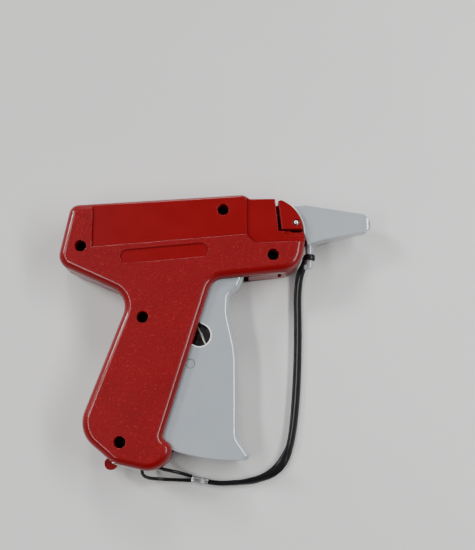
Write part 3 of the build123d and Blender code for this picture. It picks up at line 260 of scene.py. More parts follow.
# %% A class for finishes
class Finish(Network):
    """One material: fixed values on its shader, and nodes for what varies."""

    def __init__(self, name, colour, roughness, **fixed):
        self.material = bpy.data.materials.new(name)
        super().__init__(self.material)
        self.shader = self.tree.nodes["Principled BSDF"]
        self.give("Base Color", (*colour, 1))
        self.give("Roughness", roughness)
        for socket, value in fixed.items():
            self.give(socket.replace("_", " "), value)

    def give(self, socket, value):
        """Sets a value of the shader, or links it."""
        self.plug(self.shader.inputs[socket], value)

    def place(self):
        """Each point's own place on the piece, in metres."""
        return self.node("ShaderNodeTexCoord", {}, {}, "Object")

    def axis(self, letter):
        """One coordinate of that place."""
        return self.node("ShaderNodeSeparateXYZ", {}, {0: self.place()}, letter)

    def vector_math(self, operation, first, second, output=0):
        """Arithmetic on places and directions."""
        settings = {"operation": operation}
        return self.node("ShaderNodeVectorMath", settings, {0: first, 1: second}, output)

    def noise(self, size, detail=2.0, place=None):
        """Cloudy noise from 0 to 1 whose lumps are about that size in metres."""
        if place is None:
            place = self.place()
        sockets = {"Vector": place, "Scale": 1 / size, "Detail": detail}
        return self.node("ShaderNodeTexNoise", {}, sockets)

    def ramp(self, value, low, high):
        """0 below low, 1 above high, and a smooth rise between them."""
        settings = {"interpolation_type": "SMOOTHSTEP"}
        sockets = {"Value": value, "From Min": low, "From Max": high}
        return self.node("ShaderNodeMapRange", settings, sockets)

    def mixed(self, share, first, second):
        """The first colour where share is 0, the second where it is 1."""
        first, second = ((*c, 1) if isinstance(c, tuple) else c for c in (first, second))
        sockets = {0: share, 6: first, 7: second}
        return self.node("ShaderNodeMix", {"data_type": "RGBA"}, sockets, 2)

    def bump(self, height, depth, strength=1.0):
        """Raises the surface by height times depth, in shading only."""
        sockets = {"Height": height, "Distance": depth, "Strength": strength}
        self.give("Normal", self.node("ShaderNodeBump", {}, sockets))


print("finishes can use:", [name for name in vars(Finish) if not name.startswith("_")])

# %% [markdown]
# ## Red plastic of the housing
# The two halves are moulded in red plastic. The mould is spark eroded on the wide side faces,
# which leaves a fine grain of small pits there. The pits get painted shade, a shade darker,
# and the specks between them get painted glints, a painted highlight. The lower panels, the
# walls and the rounded edges come from polished steel and stay smooth. Two materials could
# show this, but the height of a point tells the two kinds of face apart, so one does both.
# The plastic itself shines little, which keeps its flat faces deep in colour, and a thin
# clear coat over it draws a crisp line where a rounded edge mirrors a lamp.

# %% Red housing finish
gloss = {"Specular_IOR_Level": 0.14, "Coat_Weight": 0.38, "Coat_Roughness": 0.1, "Coat_IOR": 1.5}
deep_red, clear_red = (0.15, 0.0016, 0.0036), (0.195, 0.0021, 0.0045)
# Painted shade colour for the pits, and painted highlight colour for the glint specks.
pit_shade_red, painted_glint_red = (0.12, 0.0006, 0.0016), (0.42, 0.02, 0.02)
pit_shade_share, painted_glint_share = 0.35, 0.35
grain_depth, grain_strength = 0.13 * MM, 0.8

housing_red = Finish("housing_red", (0.22, 0.001, 0.004), 0.4, **gloss)
height = housing_red.axis("Z")
upper_face = housing_red.ramp(height, 23.80 * MM, 23.99 * MM)
lower_face = 1 - housing_red.ramp(height, 0.01 * MM, 0.2 * MM)
side_face = upper_face + lower_face
pits = housing_red.ramp(housing_red.noise(1.05 * MM, 2.0), 0.50, 0.66)
fine_grain = housing_red.noise(0.5 * MM, 1.0)
# The glint mask marks painted highlights: bright specks on the side faces.
painted_glint = housing_red.ramp(housing_red.noise(0.9 * MM, 1.0), 0.62, 0.72) * side_face
cloud = housing_red.noise(16 * MM, 3.0)
shade = housing_red.mixed(cloud, deep_red, clear_red)
# Painted shade: the pits are darker in colour.
shade = housing_red.mixed(pits * side_face * pit_shade_share, shade, pit_shade_red)
# Painted highlight: the glint specks are lighter in colour.
housing_red.give("Base Color", housing_red.mixed(painted_glint * painted_glint_share, shade, painted_glint_red))
housing_red.give("Roughness", 0.36 + 0.08 * side_face + 0.06 * cloud)
grain = (1 - pits) * 0.7 + fine_grain * 0.3
housing_red.bump(grain * (0.04 + 0.96 * side_face), grain_depth, grain_strength)
print("red finish has", len(housing_red.tree.nodes), "nodes")

# %% [markdown]
# ## Grey plastic of the trigger and the cap
# The trigger and the needle cap share one pale grey plastic with a slight blue cast. It is
# glossier than the housing, so its coat has its full weight and a higher index. Faint flow
# marks from the mould and a little dirt keep it from looking like a drawing.
# A painted highlight makes the rim of the trigger's window and the curved mouth of the cap
# paler than the rest. Painted shade darkens the edge of the small round mark under the window.
# They could be strips of mesh, but a ring round a centre is simpler, and it can't come loose.

# %% Grey plastic finish
full_gloss = gloss | {"Coat_Weight": 1.0, "Coat_IOR": 1.9}
cool_grey, light_grey = (0.285, 0.315, 0.345), (0.335, 0.365, 0.39)
# The second colour is painted shade for the edge of the round mark, the third a painted highlight
# for the window rim and the cap's mouth.
dirt_grey, mark_shade_grey, highlight_grey = (0.27, 0.28, 0.29), (0.14, 0.14, 0.14), (0.80, 0.81, 0.82)
dirt_share, mark_shade_share = 0.25, 0.75
# The window's rim and the cap's mouth get a painted highlight of these widths.
window_centre, window_radius, window_highlight_width = mm(-17.4, -36.7), 5.3 * MM, 0.6 * MM
mouth_centre, mouth_radius, mouth_highlight_width = mm(15.9, 13.5), 16.9 * MM, 0.8 * MM
# The edge of the round mark gets painted shade of this width.
mark_centre, mark_radius, mark_shade_width = mm(-21.6, -50.3), 2.0 * MM, 0.35 * MM
cap_start = 20 * MM

trigger_grey = Finish("trigger_grey", (0.40, 0.43, 0.46), 0.4, **full_gloss)
flow = trigger_grey.noise(22 * MM, 3.0)
skin = trigger_grey.noise(0.9 * MM, 2.0)
dirt = trigger_grey.ramp(trigger_grey.noise(5 * MM, 4.0), 0.56, 0.8)
flat_place = trigger_grey.vector_math("MULTIPLY", trigger_grey.place(), (1, 1, 0))


def thin_ring(centre, radius, width):
    """1 on a ring round a centre, seen along Z. It fades out on its outer side."""
    away = trigger_grey.vector_math("DISTANCE", flat_place, centre, "Value")
    not_outside = 1 - trigger_grey.ramp(away, radius + 0.6 * width, radius + 1.4 * width)
    return not_outside * (away > radius - 0.1 * MM)


# Painted highlight on the window's rim and on the cap's mouth.
window_highlight = thin_ring(window_centre, window_radius, window_highlight_width)
mouth_highlight = thin_ring(mouth_centre, mouth_radius, mouth_highlight_width)
mouth_highlight = mouth_highlight * (trigger_grey.axis("X") > cap_start)
# Painted shade on the edge of the round mark.
mark_edge_shade = thin_ring(mark_centre, mark_radius, mark_shade_width)
pale = trigger_grey.mixed(flow, cool_grey, light_grey)
pale = trigger_grey.mixed(dirt * dirt_share, pale, dirt_grey)
# Painted shade: the edge of the mark is darkened in the colour.
pale = trigger_grey.mixed(mark_edge_shade * mark_shade_share, pale, mark_shade_grey)
# Painted highlight: the rims are lightened to a pale grey in the colour.
trigger_grey.give("Base Color", trigger_grey.mixed(window_highlight + mouth_highlight, pale, highlight_grey))
trigger_grey.give("Roughness", 0.36 + 0.12 * flow + 0.06 * skin)
trigger_grey.bump(skin * 0.6 + flow * 2.0, 0.03 * MM)
print("grey finish has", len(trigger_grey.tree.nodes), "nodes")

# %% [markdown]
# ## Metals
# The drive lever and the needle are bright steel, the springs are a duller one, the pins are
# polished, the screws are darkened, and the crimp is a soft tinned sleeve. Brushed or drawn
# metal shows fine lines along one direction. An anisotropic shader only stretches the
# highlight, so the noise is stretched instead: dividing a point's place along the lines
# squeezes the place there, and the lumps of the noise come out long.

# %% Metal finishes
line_width, line_depth = 0.35 * MM, 0.012 * MM
stain_share = 0.62


def metal(name, colour, roughness, stretch):
    """A metal with fine lines; stretch says how long they are along X, Y and Z."""
    finish = Finish(name, colour, roughness, Metallic=1.0)
    squeezed = finish.vector_math("DIVIDE", finish.place(), stretch)
    lines = finish.noise(line_width, 3.0, squeezed)
    stain = finish.noise(4 * MM, 3.0)
    stained = tuple(part * stain_share for part in colour)
    finish.give("Base Color", finish.mixed(finish.ramp(stain, 0.45, 0.8), colour, stained))
    finish.give("Roughness", roughness + 0.12 * lines + 0.08 * stain)
    finish.bump(lines, line_depth)
    return finish


bright_steel = metal("bright_steel", (0.62, 0.61, 0.59), 0.22, (12, 1, 1))
spring_steel = metal("spring_steel", (0.50, 0.48, 0.45), 0.26, (1, 6, 1))
dark_screw = metal("dark_screw", (0.055, 0.052, 0.05), 0.32, (1, 1, 1))
pin_steel = metal("pin_steel", (0.72, 0.71, 0.69), 0.16, (1, 1, 1))
crimp_tin = metal("crimp_tin", (0.60, 0.60, 0.60), 0.28, (8, 1, 1))
metals = (bright_steel, spring_steel, dark_screw, pin_steel, crimp_tin)
print("metals:", [finish.material.name for finish in metals])

# %% [markdown]
# ## Cord and inner plastic
# The strap is a soft black vinyl that shines along its top. The sliding and turning parts
# inside are natural nylon, which is cream white and slightly waxy. A little light scatters
# below a waxy surface, and a small subsurface weight does that.

# %% Soft black and nylon finishes
soft_gloss = gloss | {"Coat_Weight": 0.3, "Coat_Roughness": 0.16}
strap_black = Finish("strap_black", (0.006, 0.006, 0.007), 0.5, **soft_gloss)
strap_skin = strap_black.noise(0.8 * MM, 3.0)
strap_dust = strap_black.ramp(strap_black.noise(3.5 * MM, 4.0), 0.55, 0.85)
clean_black, dusty_black, dust_share = (0.004, 0.004, 0.005), (0.018, 0.017, 0.018), 0.3
dusted = strap_black.mixed(strap_dust * dust_share, clean_black, dusty_black)
strap_black.give("Base Color", dusted)
strap_black.give("Roughness", 0.46 + 0.2 * strap_dust + 0.08 * strap_skin)
strap_black.bump(strap_skin, 0.05 * MM)

nylon = Finish("nylon", (0.72, 0.69, 0.60), 0.42, Subsurface_Weight=0.1, Subsurface_Scale=0.002)
nylon_cloud = nylon.noise(6 * MM, 3.0)
nylon.give("Base Color", nylon.mixed(nylon_cloud, (0.66, 0.63, 0.54), (0.76, 0.73, 0.65)))
nylon.give("Roughness", 0.36 + 0.14 * nylon_cloud)
nylon.bump(nylon.noise(0.7 * MM, 2.0), 0.02 * MM)
print("soft finishes:", strap_black.material.name, nylon.material.name)

# %% [markdown]
# ## Dressing a piece
# Every new piece needs the same things: an object in the scene, a finish, a body of the tool
# to ride on, and the name of the frame's part that it stands for. One function does that.
# A piece that bends between two bodies is given none here.

# %% A piece of the tool
def piece(name, mesh, body, finish, node):
    """Puts the mesh in the scene as a piece that rides on a body and stands for a node."""
    thing = bpy.data.objects.new(name, mesh)
    bpy.context.scene.collection.objects.link(thing)
    mesh.materials.clear()
    mesh.materials.append(finish.material)
    if body:
        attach(thing, body)
    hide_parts(node)
    return thing


def mesh_from(shape, name, smooth=True):
    """Turns a bmesh into a mesh and frees it."""
    bmesh.ops.recalc_face_normals(shape, faces=shape.faces)
    for face in shape.faces:
        face.smooth = smooth
    mesh = bpy.data.meshes.new(name)
    shape.to_mesh(mesh)
    shape.free()
    return mesh


print("parts of the frame:", sorted(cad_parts))

# %% [markdown]
# ## Softening the moulded edges
# No moulded part has knife edges. The frame's solids do, where two flat faces meet, and such
# an edge never catches the light. So each rigid part gets a copy whose coplanar triangles are
# joined into whole faces, and a bevel rounds its outer edges. A bevel on every sharp edge would
# fill the inner corners too, and tangle where edges crowd, as at the ends of the bar's groove.
# So the bevel goes by weight: only edges that stand out get one, outside the crowded boxes.

# %% Rounded copies of rigid parts
corner_angle = math.radians(32)
coplanar_angle = math.radians(0.6)
weld_distance = 0.002 * MM


def whole_faces(node):
    """One of the frame's parts as a bmesh, with its coplanar triangles joined."""
    shape = bmesh.new()
    shape.from_mesh(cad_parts[node].data)
    for layer in list(shape.loops.layers.uv):
        shape.loops.layers.uv.remove(layer)
    bmesh.ops.remove_doubles(shape, verts=shape.verts, dist=weld_distance)
    bmesh.ops.dissolve_limit(
        shape,
        angle_limit=coplanar_angle,
        verts=shape.verts,
        edges=shape.edges,
        use_dissolve_boundaries=False,
    )
    return shape


def stands_out(edge, crowded):
    """Whether an edge is an outer corner whose middle lies in none of the crowded boxes."""
    middle = (edge.verts[0].co + edge.verts[1].co) / 2 / MM
    for lowest, highest in crowded:
        if all(low <= at <= high for low, at, high in zip(lowest, middle, highest)):
            return False
    return edge.calc_face_angle_signed(0) > corner_angle


def rounded(node, body, finish, slot, width, crowded=(), segments=2):
    """A copy of one of the frame's parts with its outer edges rounded by width.

    crowded lists boxes in millimetres whose edges stay sharp.
    """
    shape = whole_faces(node)
    weight = shape.edges.layers.float.new("bevel_weight_edge")
    for edge in shape.edges:
        if stands_out(edge, crowded):
            edge[weight] = 1.0
    mesh = mesh_from(shape, node + "_mesh")
    for name in ("custom_normal", "sharp_edge"):
        if name in mesh.attributes:
            mesh.attributes.remove(mesh.attributes[name])
    mesh.set_sharp_from_angle(angle=corner_angle)
    thing = piece(node + "_rounded", mesh, body, finish, node)
    bevel = thing.modifiers.new("soft edges", "BEVEL")
    bevel.width = width
    bevel.segments = segments
    bevel.limit_method = "WEIGHT"
    bevel.use_clamp_overlap = False
    bevel.harden_normals = True
    bevel.miter_outer = "MITER_ARC"
    even = thing.modifiers.new("even shading", "WEIGHTED_NORMAL")
    even.keep_sharp = True
    return thing


# %% [markdown]
# The housing is rounded least, because its wide edges already curve in the solid. The crowded
# places are the two ends of the groove for the steel bar, the foot of the nose, the front of
# the trigger's hub, and the round mark on the trigger.
# The lock lever's foot slides on the face of the left half. Its copy ends a hair above that
# face, so that two faces never share one plane.

# %% The five moulded parts
groove_end = ((-36, -102, 10.9), (-31, -94, 13.1))
groove_start = ((-67, -101, 10.9), (-56, -93, 13.1))
nose_foot = ((19.0, 17.5, 11.9), (21.5, 19.0, 12.3))
hub_front = ((-6, -15, 3), (12, 6, 21))
mould_mark = ((-26, -55, 3), (-18, -46, 21))
housing_round, trigger_round, lever_round, cap_round = 0.28 * MM, 0.45 * MM, 0.35 * MM, 0.5 * MM
lever_foot = 15.06 * MM

housing_look = ("housing", housing_red, "housing_plastic", housing_round)
trigger_look = ("trigger", trigger_grey, "trigger_plastic", trigger_round)
right_shell = rounded("right_housing", *housing_look, [groove_end, groove_start, nose_foot])
left_shell = rounded("left_housing", *housing_look, [groove_end, groove_start])
grip = rounded("trigger", *trigger_look, [hub_front, mould_mark], segments=3)
latch = rounded("lock_lever", "lock_lever", housing_red, "housing_plastic", lever_round)
hood = rounded("needle_cap", "cap", trigger_grey, "trigger_plastic", cap_round, segments=3)
for point in latch.data.vertices:
    point.co.z = max(point.co.z, lever_foot)
for thing in (right_shell, left_shell, grip, latch, hood):
    print(thing.name, len(thing.data.polygons), "faces before rounding")

# %% [markdown]
# ## Screws
# Five screws hold the halves together, at the bottom of deep holes. Each has a domed head with
# a cross recess. The head is turned from a profile, as on a lathe, and two crossed wedges are
# cut out of it with a Boolean, which gives the recess real walls for the light to fall on.
# Each screw stands at an angle of its own, as screws do that were driven by hand.

# %% Tools for turning and cutting
def turned(name, profile, steps=40):
    """A solid of revolution about the Z axis from (radius, height) pairs in millimetres."""
    shape = bmesh.new()
    line = [shape.verts.new(mm(radius, 0, height)) for radius, height in profile]
    edges = [shape.edges.new(pair) for pair in zip(line, line[1:])]
    bmesh.ops.spin(
        shape,
        geom=line + edges,
        axis=(0, 0, 1),
        cent=(0, 0, 0),
        angle=math.tau,
        steps=steps,
        use_merge=True,
    )
    bmesh.ops.remove_doubles(shape, verts=shape.verts, dist=0.001 * MM)
    return mesh_from(shape, name)


def wedge(name, size, centre, taper):
    """A box in millimetres whose lower face is smaller by taper."""
    shape = bmesh.new()
    bmesh.ops.create_cube(shape, size=1.0)
    for corner in shape.verts:
        narrow = taper if corner.co.z < 0 else 1.0
        corner.co = mm(
            centre[0] + corner.co.x * size[0] * narrow,
            centre[1] + corner.co.y * size[1] * narrow,
            centre[2] + corner.co.z * size[2],
        )
    return mesh_from(shape, name, smooth=False)


def carved(mesh, *cutters):
    """The mesh with the cutters taken out of it."""
    thing = bpy.data.objects.new("carving", mesh)
    bpy.context.scene.collection.objects.link(thing)
    tools = []
    for cutter in cutters:
        tool = bpy.data.objects.new("cutter", cutter)
        bpy.context.scene.collection.objects.link(tool)
        tools.append(tool)
        cut = thing.modifiers.new("cut", "BOOLEAN")
        cut.operation = "DIFFERENCE"
        cut.object = tool
    worked = thing.evaluated_get(bpy.context.evaluated_depsgraph_get())
    mesh = bpy.data.meshes.new_from_object(worked)
    for used in [thing] + tools:
        bpy.data.objects.remove(used)
    return mesh


# %% [markdown]
# One screw is enough to cut. The other four are turned and moved copies of it, and the five
# share one mesh, because the frame holds them as one part.

# %% Cross head screws
screw_places = [(-6.2, 23.7), (17.8, 1.4), (-74.4, 5.7), (-44.2, -28.7), (-53.8, -87.0)]
screw_head = [(0, 17.2), (1.0, 17.15), (1.9, 16.85), (2.4, 16.3), (2.6, 15.6), (2.6, 15.05)]
screw_shank = [(1.5, 15.05), (1.5, 5.5), (0.9, 4.3), (0, 4.1)]
slot_length, slot_width, slot_depth, slot_taper = 3.2, 0.75, 2.4, 0.55
slot_centre = (0, 0, 17.0)
first_turn, turn_between = 0.5, 0.9

one_screw = carved(
    turned("screw", screw_head + screw_shank),
    wedge("slot_a", (slot_length, slot_width, slot_depth), slot_centre, slot_taper),
    wedge("slot_b", (slot_width, slot_length, slot_depth), slot_centre, slot_taper),
)
shape = bmesh.new()
for number, place in enumerate(screw_places):
    first_new = len(shape.verts)
    shape.from_mesh(one_screw)
    shape.verts.ensure_lookup_table()
    fresh = shape.verts[first_new:]
    turn = Matrix.Rotation(first_turn + number * turn_between, 3, "Z")
    bmesh.ops.rotate(shape, verts=fresh, cent=(0, 0, 0), matrix=turn)
    bmesh.ops.translate(shape, verts=fresh, vec=mm(*place))
screws_mesh = mesh_from(shape, "screws_mesh")
screws_mesh.set_sharp_from_angle(angle=math.radians(35))
screws = piece(
    "cross_head_screws", screws_mesh, "housing", dark_screw, "housing_screws"
)
print("screws:", len(screw_places), "with", len(screws_mesh.polygons), "faces")

# %% [markdown]
# ## Tubes
# The spring, the strap, the loop and the bar are all one kind of thing: a section that follows
# a line. A curve with a bevel would do for a round wire, but the strap's section also twists
# and narrows on its way. So a tube is built ring by ring, and a small function says how wide,
# how high and how far turned the section is at each share of the length.

# %% A tube along a line
def skinned(shape, rings, name):
    """Joins each ring of vertices to the next, and closes both ends."""
    for first, second in zip(rings, rings[1:]):
        for step in range(len(first)):
            following = (step + 1) % len(first)
            shape.faces.new((first[step], first[following], second[following], second[step]))
    shape.faces.new(rings[0])
    shape.faces.new(rings[-1])
    return mesh_from(shape, name)


def tube(name, places, section, sides=16):
    """A tube along the places; section gives each one's (half width, half height, twist)."""
    shape = bmesh.new()
    rings = []
    up = Vector((0, 0, 1))
    for index, place in enumerate(places):
        before = places[max(index - 1, 0)]
        after = places[min(index + 1, len(places) - 1)]
        forward = (after - before).normalized()
        side = forward.cross(up)
        side.normalize()
        top = side.cross(forward).normalized()
        half_width, half_height, twist = section(index / (len(places) - 1))
        ring = []
        for step in range(sides):
            angle = math.tau * step / sides
            across = half_width * math.cos(angle)
            above = half_height * math.sin(angle)
            wide = across * math.cos(twist) - above * math.sin(twist)
            high = across * math.sin(twist) + above * math.cos(twist)
            ring.append(shape.verts.new(place + side * wide + top * high))
        rings.append(ring)
    return skinned(shape, rings, name)


def round_section(radius):
    """The section of a wire or cord that is round and equally thick all along."""
    return lambda share: (radius * MM, radius * MM, 0)


# %% [markdown]
# ## Return spring
# A torsion spring pushes the trigger out again. Its coil sits on a post in the housing, one
# short leg rests on the wall, and the long leg reaches down inside the trigger, where it shows
# through the window. The coil is a helix, which a loop works out step by step. The wire is one
# mesh, and it is given no body to ride on.

# %% Torsion spring
spring_centre = (-37.7, -6.0)
spring_radius = 4.7
wire_radius = 0.95
spring_turns = 2.18
spring_low, spring_high = 14.4, 18.7
start_angle = math.radians(90 - 360 * (spring_turns - 2))
steps_per_turn = 36
long_leg = [(-2.6, -62.8), (-3.4, -61.2), (-18.0, -33.5)]
short_leg_reach = 9.0


def wire_places():
    """The middle line of the spring's wire, from the tip of the long leg to the short leg."""
    places = [mm(x, y, spring_low) for x, y in long_leg]
    steps = int(spring_turns * steps_per_turn)
    for step in range(steps + 1):
        share = step / steps
        angle = start_angle + share * spring_turns * math.tau
        x = spring_centre[0] + spring_radius * math.cos(angle)
        y = spring_centre[1] + spring_radius * math.sin(angle)
        places.append(mm(x, y, spring_low + share * (spring_high - spring_low)))
    short_leg = (spring_centre[0] - short_leg_reach, spring_centre[1] + spring_radius)
    places.append(mm(*short_leg, spring_high))
    return places


spring_mesh = tube("spring_mesh", wire_places(), round_section(wire_radius))
spring_mesh.set_sharp_from_angle(angle=math.radians(50))
spring = piece("torsion_spring", spring_mesh, None, spring_steel, "return_spring")
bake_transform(spring)
print("spring wire:", round(length_of(wire_places()) / MM, 1), "mm long")

# %% [markdown]
# ## Strap
# The strap is flat and soft. It leaves the eye steeply tilted, lies at a slant along its
# straight run, lies flat where the bow begins, and stands on edge at the crimp, where it is
# also narrower. A list of stations gives its twist and width, and the tube eases from one to
# the next. The strap ties the cap, which moves, to the housing. It is a single mesh of many
# short rings, and it is given no body to ride on.

# %% Strap mesh
strap_width, strap_thickness = 4.8, 2.4
# (share of the length, twist in degrees, width in millimetres)
strap_stations = [
    (0.0, 60, 3.2),
    (0.08, 35, 4.4),
    (0.45, 35, 4.8),
    (0.58, 45, 4.8),
    (0.67, 0, 4.8),
    (0.78, 45, 4.2),
    (0.86, 70, 3.4),
    (0.95, 88, 3.0),
    (1.0, 90, 3.0),
]


def strap_section(share):
    """Half width, half thickness and twist of the strap at a share of its length."""
    for (before, *low), (after, *high) in zip(strap_stations, strap_stations[1:]):
        if before <= share <= after:
            step = (share - before) / (after - before)
            eased = step**2 * (3 - 2 * step)
            twist, width = (first + (last - first) * eased for first, last in zip(low, high))
    return width / 2 * MM, strap_thickness / 2 * MM, math.radians(twist)


strap_mesh = tube("strap_mesh", strap_path, strap_section, sides=20)
strap_mesh.set_sharp_from_angle(angle=math.radians(50))
strap = piece("cap_strap", strap_mesh, None, strap_black, "strap")
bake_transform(strap)
print("strap:", len(strap_mesh.polygons), "faces")

# %% [markdown]
# ## Crimp
# A strip of soft metal is folded round the strap's end and the two cords of the loop, then
# pressed. Its edges meet in a seam on top. Bending a flat strip in code takes many steps, and
# only its outside shows. A short tube shows the same: its section is a rounded rectangle with
# a groove for the seam, and it narrows to a waist where the pliers pressed.

# %% Crimp
crimp_start = mm(-13.4, -105.5, 1.7)
crimp_heading = (mm(-13.4, -105.5) - mm(-9.0, -106.3)).normalized()
crimp_side = Vector((-crimp_heading.y, crimp_heading.x, 0))
crimp_length, crimp_half_width, crimp_half_height, crimp_corner = 8.0, 1.55, 1.6, 0.8
seam_half_width, seam_floor_half_width, seam_depth = 0.32, 0.12, 0.45
corner_steps = 4
# (distance from an end in millimetres, swell of the section), from an end to the waist
crimp_half = [(0.0, 0.93), (0.35, 1.0), (2.2, 1.0), (2.8, 0.93), (3.6, 0.9)]
crimp_stations = crimp_half + [(crimp_length - along, swell) for along, swell in crimp_half[::-1]]


def crimp_ring(shape, along, swell):
    """One ring of the crimp: a rounded rectangle with a seam on top."""
    outline = []
    for corner_x, corner_z, first in ((1, -1, -90), (1, 1, 0), (-1, 1, 90), (-1, -1, 180)):
        for step in range(corner_steps + 1):
            angle = math.radians(first + 90 * step / corner_steps)
            x = corner_x * (crimp_half_width - crimp_corner) + crimp_corner * math.cos(angle)
            z = corner_z * (crimp_half_height - crimp_corner) + crimp_corner * math.sin(angle)
            outline.append((x * swell, z * swell))
        if (corner_x, corner_z) == (1, 1):
            top, floor = crimp_half_height * swell, (crimp_half_height - seam_depth) * swell
            outline += [(seam_half_width, top), (seam_floor_half_width, floor)]
            outline += [(-seam_floor_half_width, floor), (-seam_half_width, top)]
    middle = crimp_start + crimp_heading * along * MM
    corners = [middle + crimp_side * x * MM + Vector((0, 0, z * MM)) for x, z in outline]
    return [shape.verts.new(corner) for corner in corners]


shape = bmesh.new()
crimp_rings = [crimp_ring(shape, along, swell) for along, swell in crimp_stations]
crimp_mesh = skinned(shape, crimp_rings, "crimp_mesh")
crimp_mesh.set_sharp_from_angle(angle=math.radians(40))
crimp = piece("folded_crimp", crimp_mesh, "housing", crimp_tin, "strap_crimp")
print("crimp:", crimp_length, "mm long")

# %% [markdown]
# ## Eye on the peg, and the loop
# The strap ends in a rubber eye that was pushed over the peg of the cap. A torus would be
# round in section, while the real eye is a flat collar, so its profile is turned on the lathe
# like the screws. A fat drop beside it is the root where the strap begins. The loop at the
# other end is thinner round cord.

# %% Eye and loop
eye_centre = (35.8, 2.0, 12.0)
# (radius, height) in millimetres, from the hole over the upper rim to the widest place
eye_half = [(1.82, 1.1), (2.05, 1.4), (2.5, 1.45), (2.8, 1.2), (2.9, 0.6)]
eye_lower = [(radius, -height) for radius, height in eye_half[::-1]]
root_centre, root_radii = (34.5, 1.8, 8.7), (2.0, 1.75, 1.7)
loop_radius = 0.8

shape = bmesh.new()
shape.from_mesh(turned("eye", eye_lower[-1:] + eye_half + eye_lower, 36))
turn_to_peg = Matrix.Rotation(math.radians(90), 3, "X")
bmesh.ops.rotate(shape, verts=shape.verts, cent=(0, 0, 0), matrix=turn_to_peg)
bmesh.ops.translate(shape, verts=shape.verts, vec=mm(*eye_centre))
root = bmesh.ops.create_uvsphere(shape, u_segments=20, v_segments=12, radius=1.0)["verts"]
for corner in root:
    corner.co = mm(*(c + at * r for c, at, r in zip(root_centre, corner.co, root_radii)))
eye_mesh = mesh_from(shape, "eye_mesh")
eye = piece("strap_eye", eye_mesh, "cap", strap_black, "cap_ring")

loop_mesh = tube("loop_mesh", loop_path, round_section(loop_radius), sides=14)
loop_mesh.set_sharp_from_angle(angle=math.radians(50))
loop = piece("bar_loop", loop_mesh, "housing", strap_black, "handle_loop")
print("eye has", len(eye_mesh.polygons), "faces; loop has", len(loop_mesh.polygons))

# %% [markdown] The two cords are the strap and the loop; their names are printed below.

# %% Names of the two cords
print("cords:", strap.name, "and", loop.name)

# %% [markdown]
# ## Bar for the loop
# A steel wire follows the underside of the handle, half sunk in the red plastic. It is bent
# where the loop pulls at it, and its ends are round. A soft line whose control points crowd
# at the bend stays straight elsewhere, which a few arcs and lines would need more code for.

# %% Bar
bar_radius = 0.8
bar_end_length, bar_end_share = 0.6, 0.45
bar_points = [
    (-58.6, -96.2, 12),
    (-44.87, -99.18, 12),
    (-43.4, -99.5, 12),
    (-41.97, -99.05, 12),
    (-33.6, -96.4, 12),
]
bar_path = smooth_route("bar_line", bar_points)


def bar_section(share):
    """The wire is round, and its ends draw in over the last stretch."""
    from_end = min(share, 1 - share) * length_of(bar_path) / MM
    draw_in = math.sqrt(1 - (1 - min(from_end / bar_end_length, 1)) ** 2)
    radius = bar_radius * (bar_end_share + (1 - bar_end_share) * draw_in)
    return radius * MM, radius * MM, 0


bar_mesh = tube("bar_mesh", bar_path, bar_section, sides=20)
bar_mesh.set_sharp_from_angle(angle=math.radians(60))
bar = piece("loop_bar", bar_mesh, "housing", pin_steel, "lanyard_bar")
print("bar:", round(length_of(bar_path) / MM, 1), "mm long")

# %% [markdown]
# ## Domed pin of the lock lever
# The small lever on the nose turns on a pin with a bright domed head. A dark ring shows round
# it, because the hole in the lever is a little larger than the pin. The frame's pin has a flat
# head with a softened edge, and a turned profile gives the dome.

# %% Lock pin
lock_pin_place = (29.0, 17.6)
lock_pin_dome = [(0, 22.28), (0.55, 22.22), (1.0, 22.0), (1.25, 21.65), (1.3, 21.2)]
lock_pin_foot = [(1.3, 15.75), (0, 15.75)]

shape = bmesh.new()
shape.from_mesh(turned("pin", lock_pin_dome + lock_pin_foot, 32))
bmesh.ops.translate(shape, verts=shape.verts, vec=mm(*lock_pin_place))
pin_mesh = mesh_from(shape, "pin_mesh")
pin_mesh.set_sharp_from_angle(angle=math.radians(50))
lock_pin = piece("domed_pin", pin_mesh, "housing", pin_steel, "lock_lever_pin")
print("pin top at", round(max(corner.co.z for corner in pin_mesh.vertices) / MM, 2), "mm")

# %% [markdown]
# ## Finishes for the parts that keep their solid shape
# The inner parts are right as they are. Each takes the finish of what it is made of. The
# solids under the rounded copies are hidden, but they take theirs too, so that one which is
# brought back to look at isn't plain grey.

# %% Dress the frame
steel_parts = ["needle", "drive_lever", "slider_cross_pin", "push_rod"]
kept_finishes = {
    bright_steel: steel_parts + ["trigger_drive_pin", "cutter_blade"],
    pin_steel: ["trigger_pivot_pin", "lever_pivot_pin", "feed_wheel_axle", "feed_pawl_pin"],
    spring_steel: ["pawl_spring"],
    nylon: ["slider", "feed_wheel", "feed_pawl", "needle_base"],
    housing_red: ["right_housing", "left_housing", "lock_lever"],
    trigger_grey: ["trigger", "needle_cap"],
    dark_screw: ["housing_screws"],
}
for finish, nodes in kept_finishes.items():
    for node in nodes:
        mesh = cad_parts[node].data
        mesh.materials.clear()
        mesh.materials.append(finish.material)
print("parts with a finish:", sum(len(nodes) for nodes in kept_finishes.values()))

# %% [markdown]
# ## Table
# The tool lies on a pale table. The table top is a hair below the lowest faces of the tool,
# because two faces in one plane flicker between each other in a render.

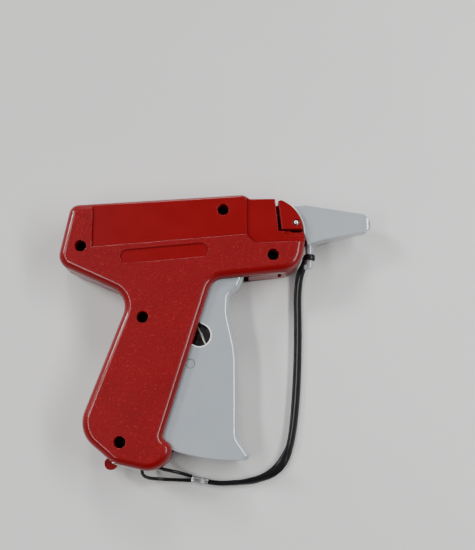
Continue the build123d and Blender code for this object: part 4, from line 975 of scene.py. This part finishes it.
# %% Table top
table_drop = 0.02
shape = bmesh.new()
bmesh.ops.create_grid(shape, x_segments=1, y_segments=1, size=2.0)
floor = bpy.data.objects.new("table_top", mesh_from(shape, "table_mesh", smooth=False))
bpy.context.scene.collection.objects.link(floor)
floor.location = mm(0, 0, -table_drop)
table_white = Finish("table_white", (0.62, 0.61, 0.60), 0.6)
table_cloud = table_white.noise(60 * MM, 2.0)
table_shade = table_white.mixed(table_cloud, (0.60, 0.59, 0.58), (0.64, 0.63, 0.62))
table_white.give("Base Color", table_shade)
floor.data.materials.append(table_white.material)
print("table top at", round(floor.location.z / MM, 2), "mm")

# %% [markdown]
# ## Lamps
# Two distant soft lamps, one from the upper left and one from above the tool, light it and the
# table evenly. Two narrow strips of light stand to the right and to the left. One large panel
# overhead would be simpler, but the flat faces would mirror it and turn pink. They don't
# mirror the strips, while the rounded edges do, and draw thin bright lines.

# %% Lamps
def lamp(kind, name, place, power, **settings):
    """A soft lamp that stands at place and points at the tool."""
    light = bpy.data.lights.new(name, kind)
    light.energy = power
    for setting, value in settings.items():
        setattr(light, setting, value)
    thing = bpy.data.objects.new(name, light)
    thing.location = place
    thing.rotation_euler = (camera_target - place).to_track_quat("-Z", "Y").to_euler()
    bpy.context.scene.collection.objects.link(thing)


lamp("SUN", "key", mm(-450, 240, 340), 1.7, angle=math.radians(11))
lamp("SUN", "top", mm(-40, 660, 400), 1.1, angle=math.radians(14))
lamp("AREA", "right strip", mm(400, 60, 455), 3.9, shape="RECTANGLE", size=0.7, size_y=0.11)
lamp("AREA", "left strip", mm(-320, -40, 500), 2.2, shape="RECTANGLE", size=0.7, size_y=0.06)

# %% [markdown]
# ## Room
# The room is bright near the horizon and dim overhead, so flat faces stay deep in colour and
# walls don't turn black. A single grey would do only one of the two, so the direction's height
# goes through a colour ramp.

# %% Room light
# (height of the direction, brightness)
room_stops = [(0.02, 0.55), (0.42, 0.05)]
blue_cast = 1.03
world = bpy.data.worlds.new("soft_room")
room = Network(world)
direction = room.node("ShaderNodeTexCoord", {}, {}, "Generated")
direction_height = room.node("ShaderNodeSeparateXYZ", {}, {0: direction}, "Z")
stops = [(place, (shade, shade, shade * blue_cast, 1)) for place, shade in room_stops]
fade = room.node("ShaderNodeValToRGB", {"stops": stops}, {"Fac": direction_height})
room.plug(room.tree.nodes["Background"].inputs["Color"], fade)
bpy.context.scene.world = world
print("room has", len(room.tree.nodes), "nodes")

# %% [markdown]
# ## Size
# The box of the solid model is measured near the start, and its size in millimetres is
# printed there.
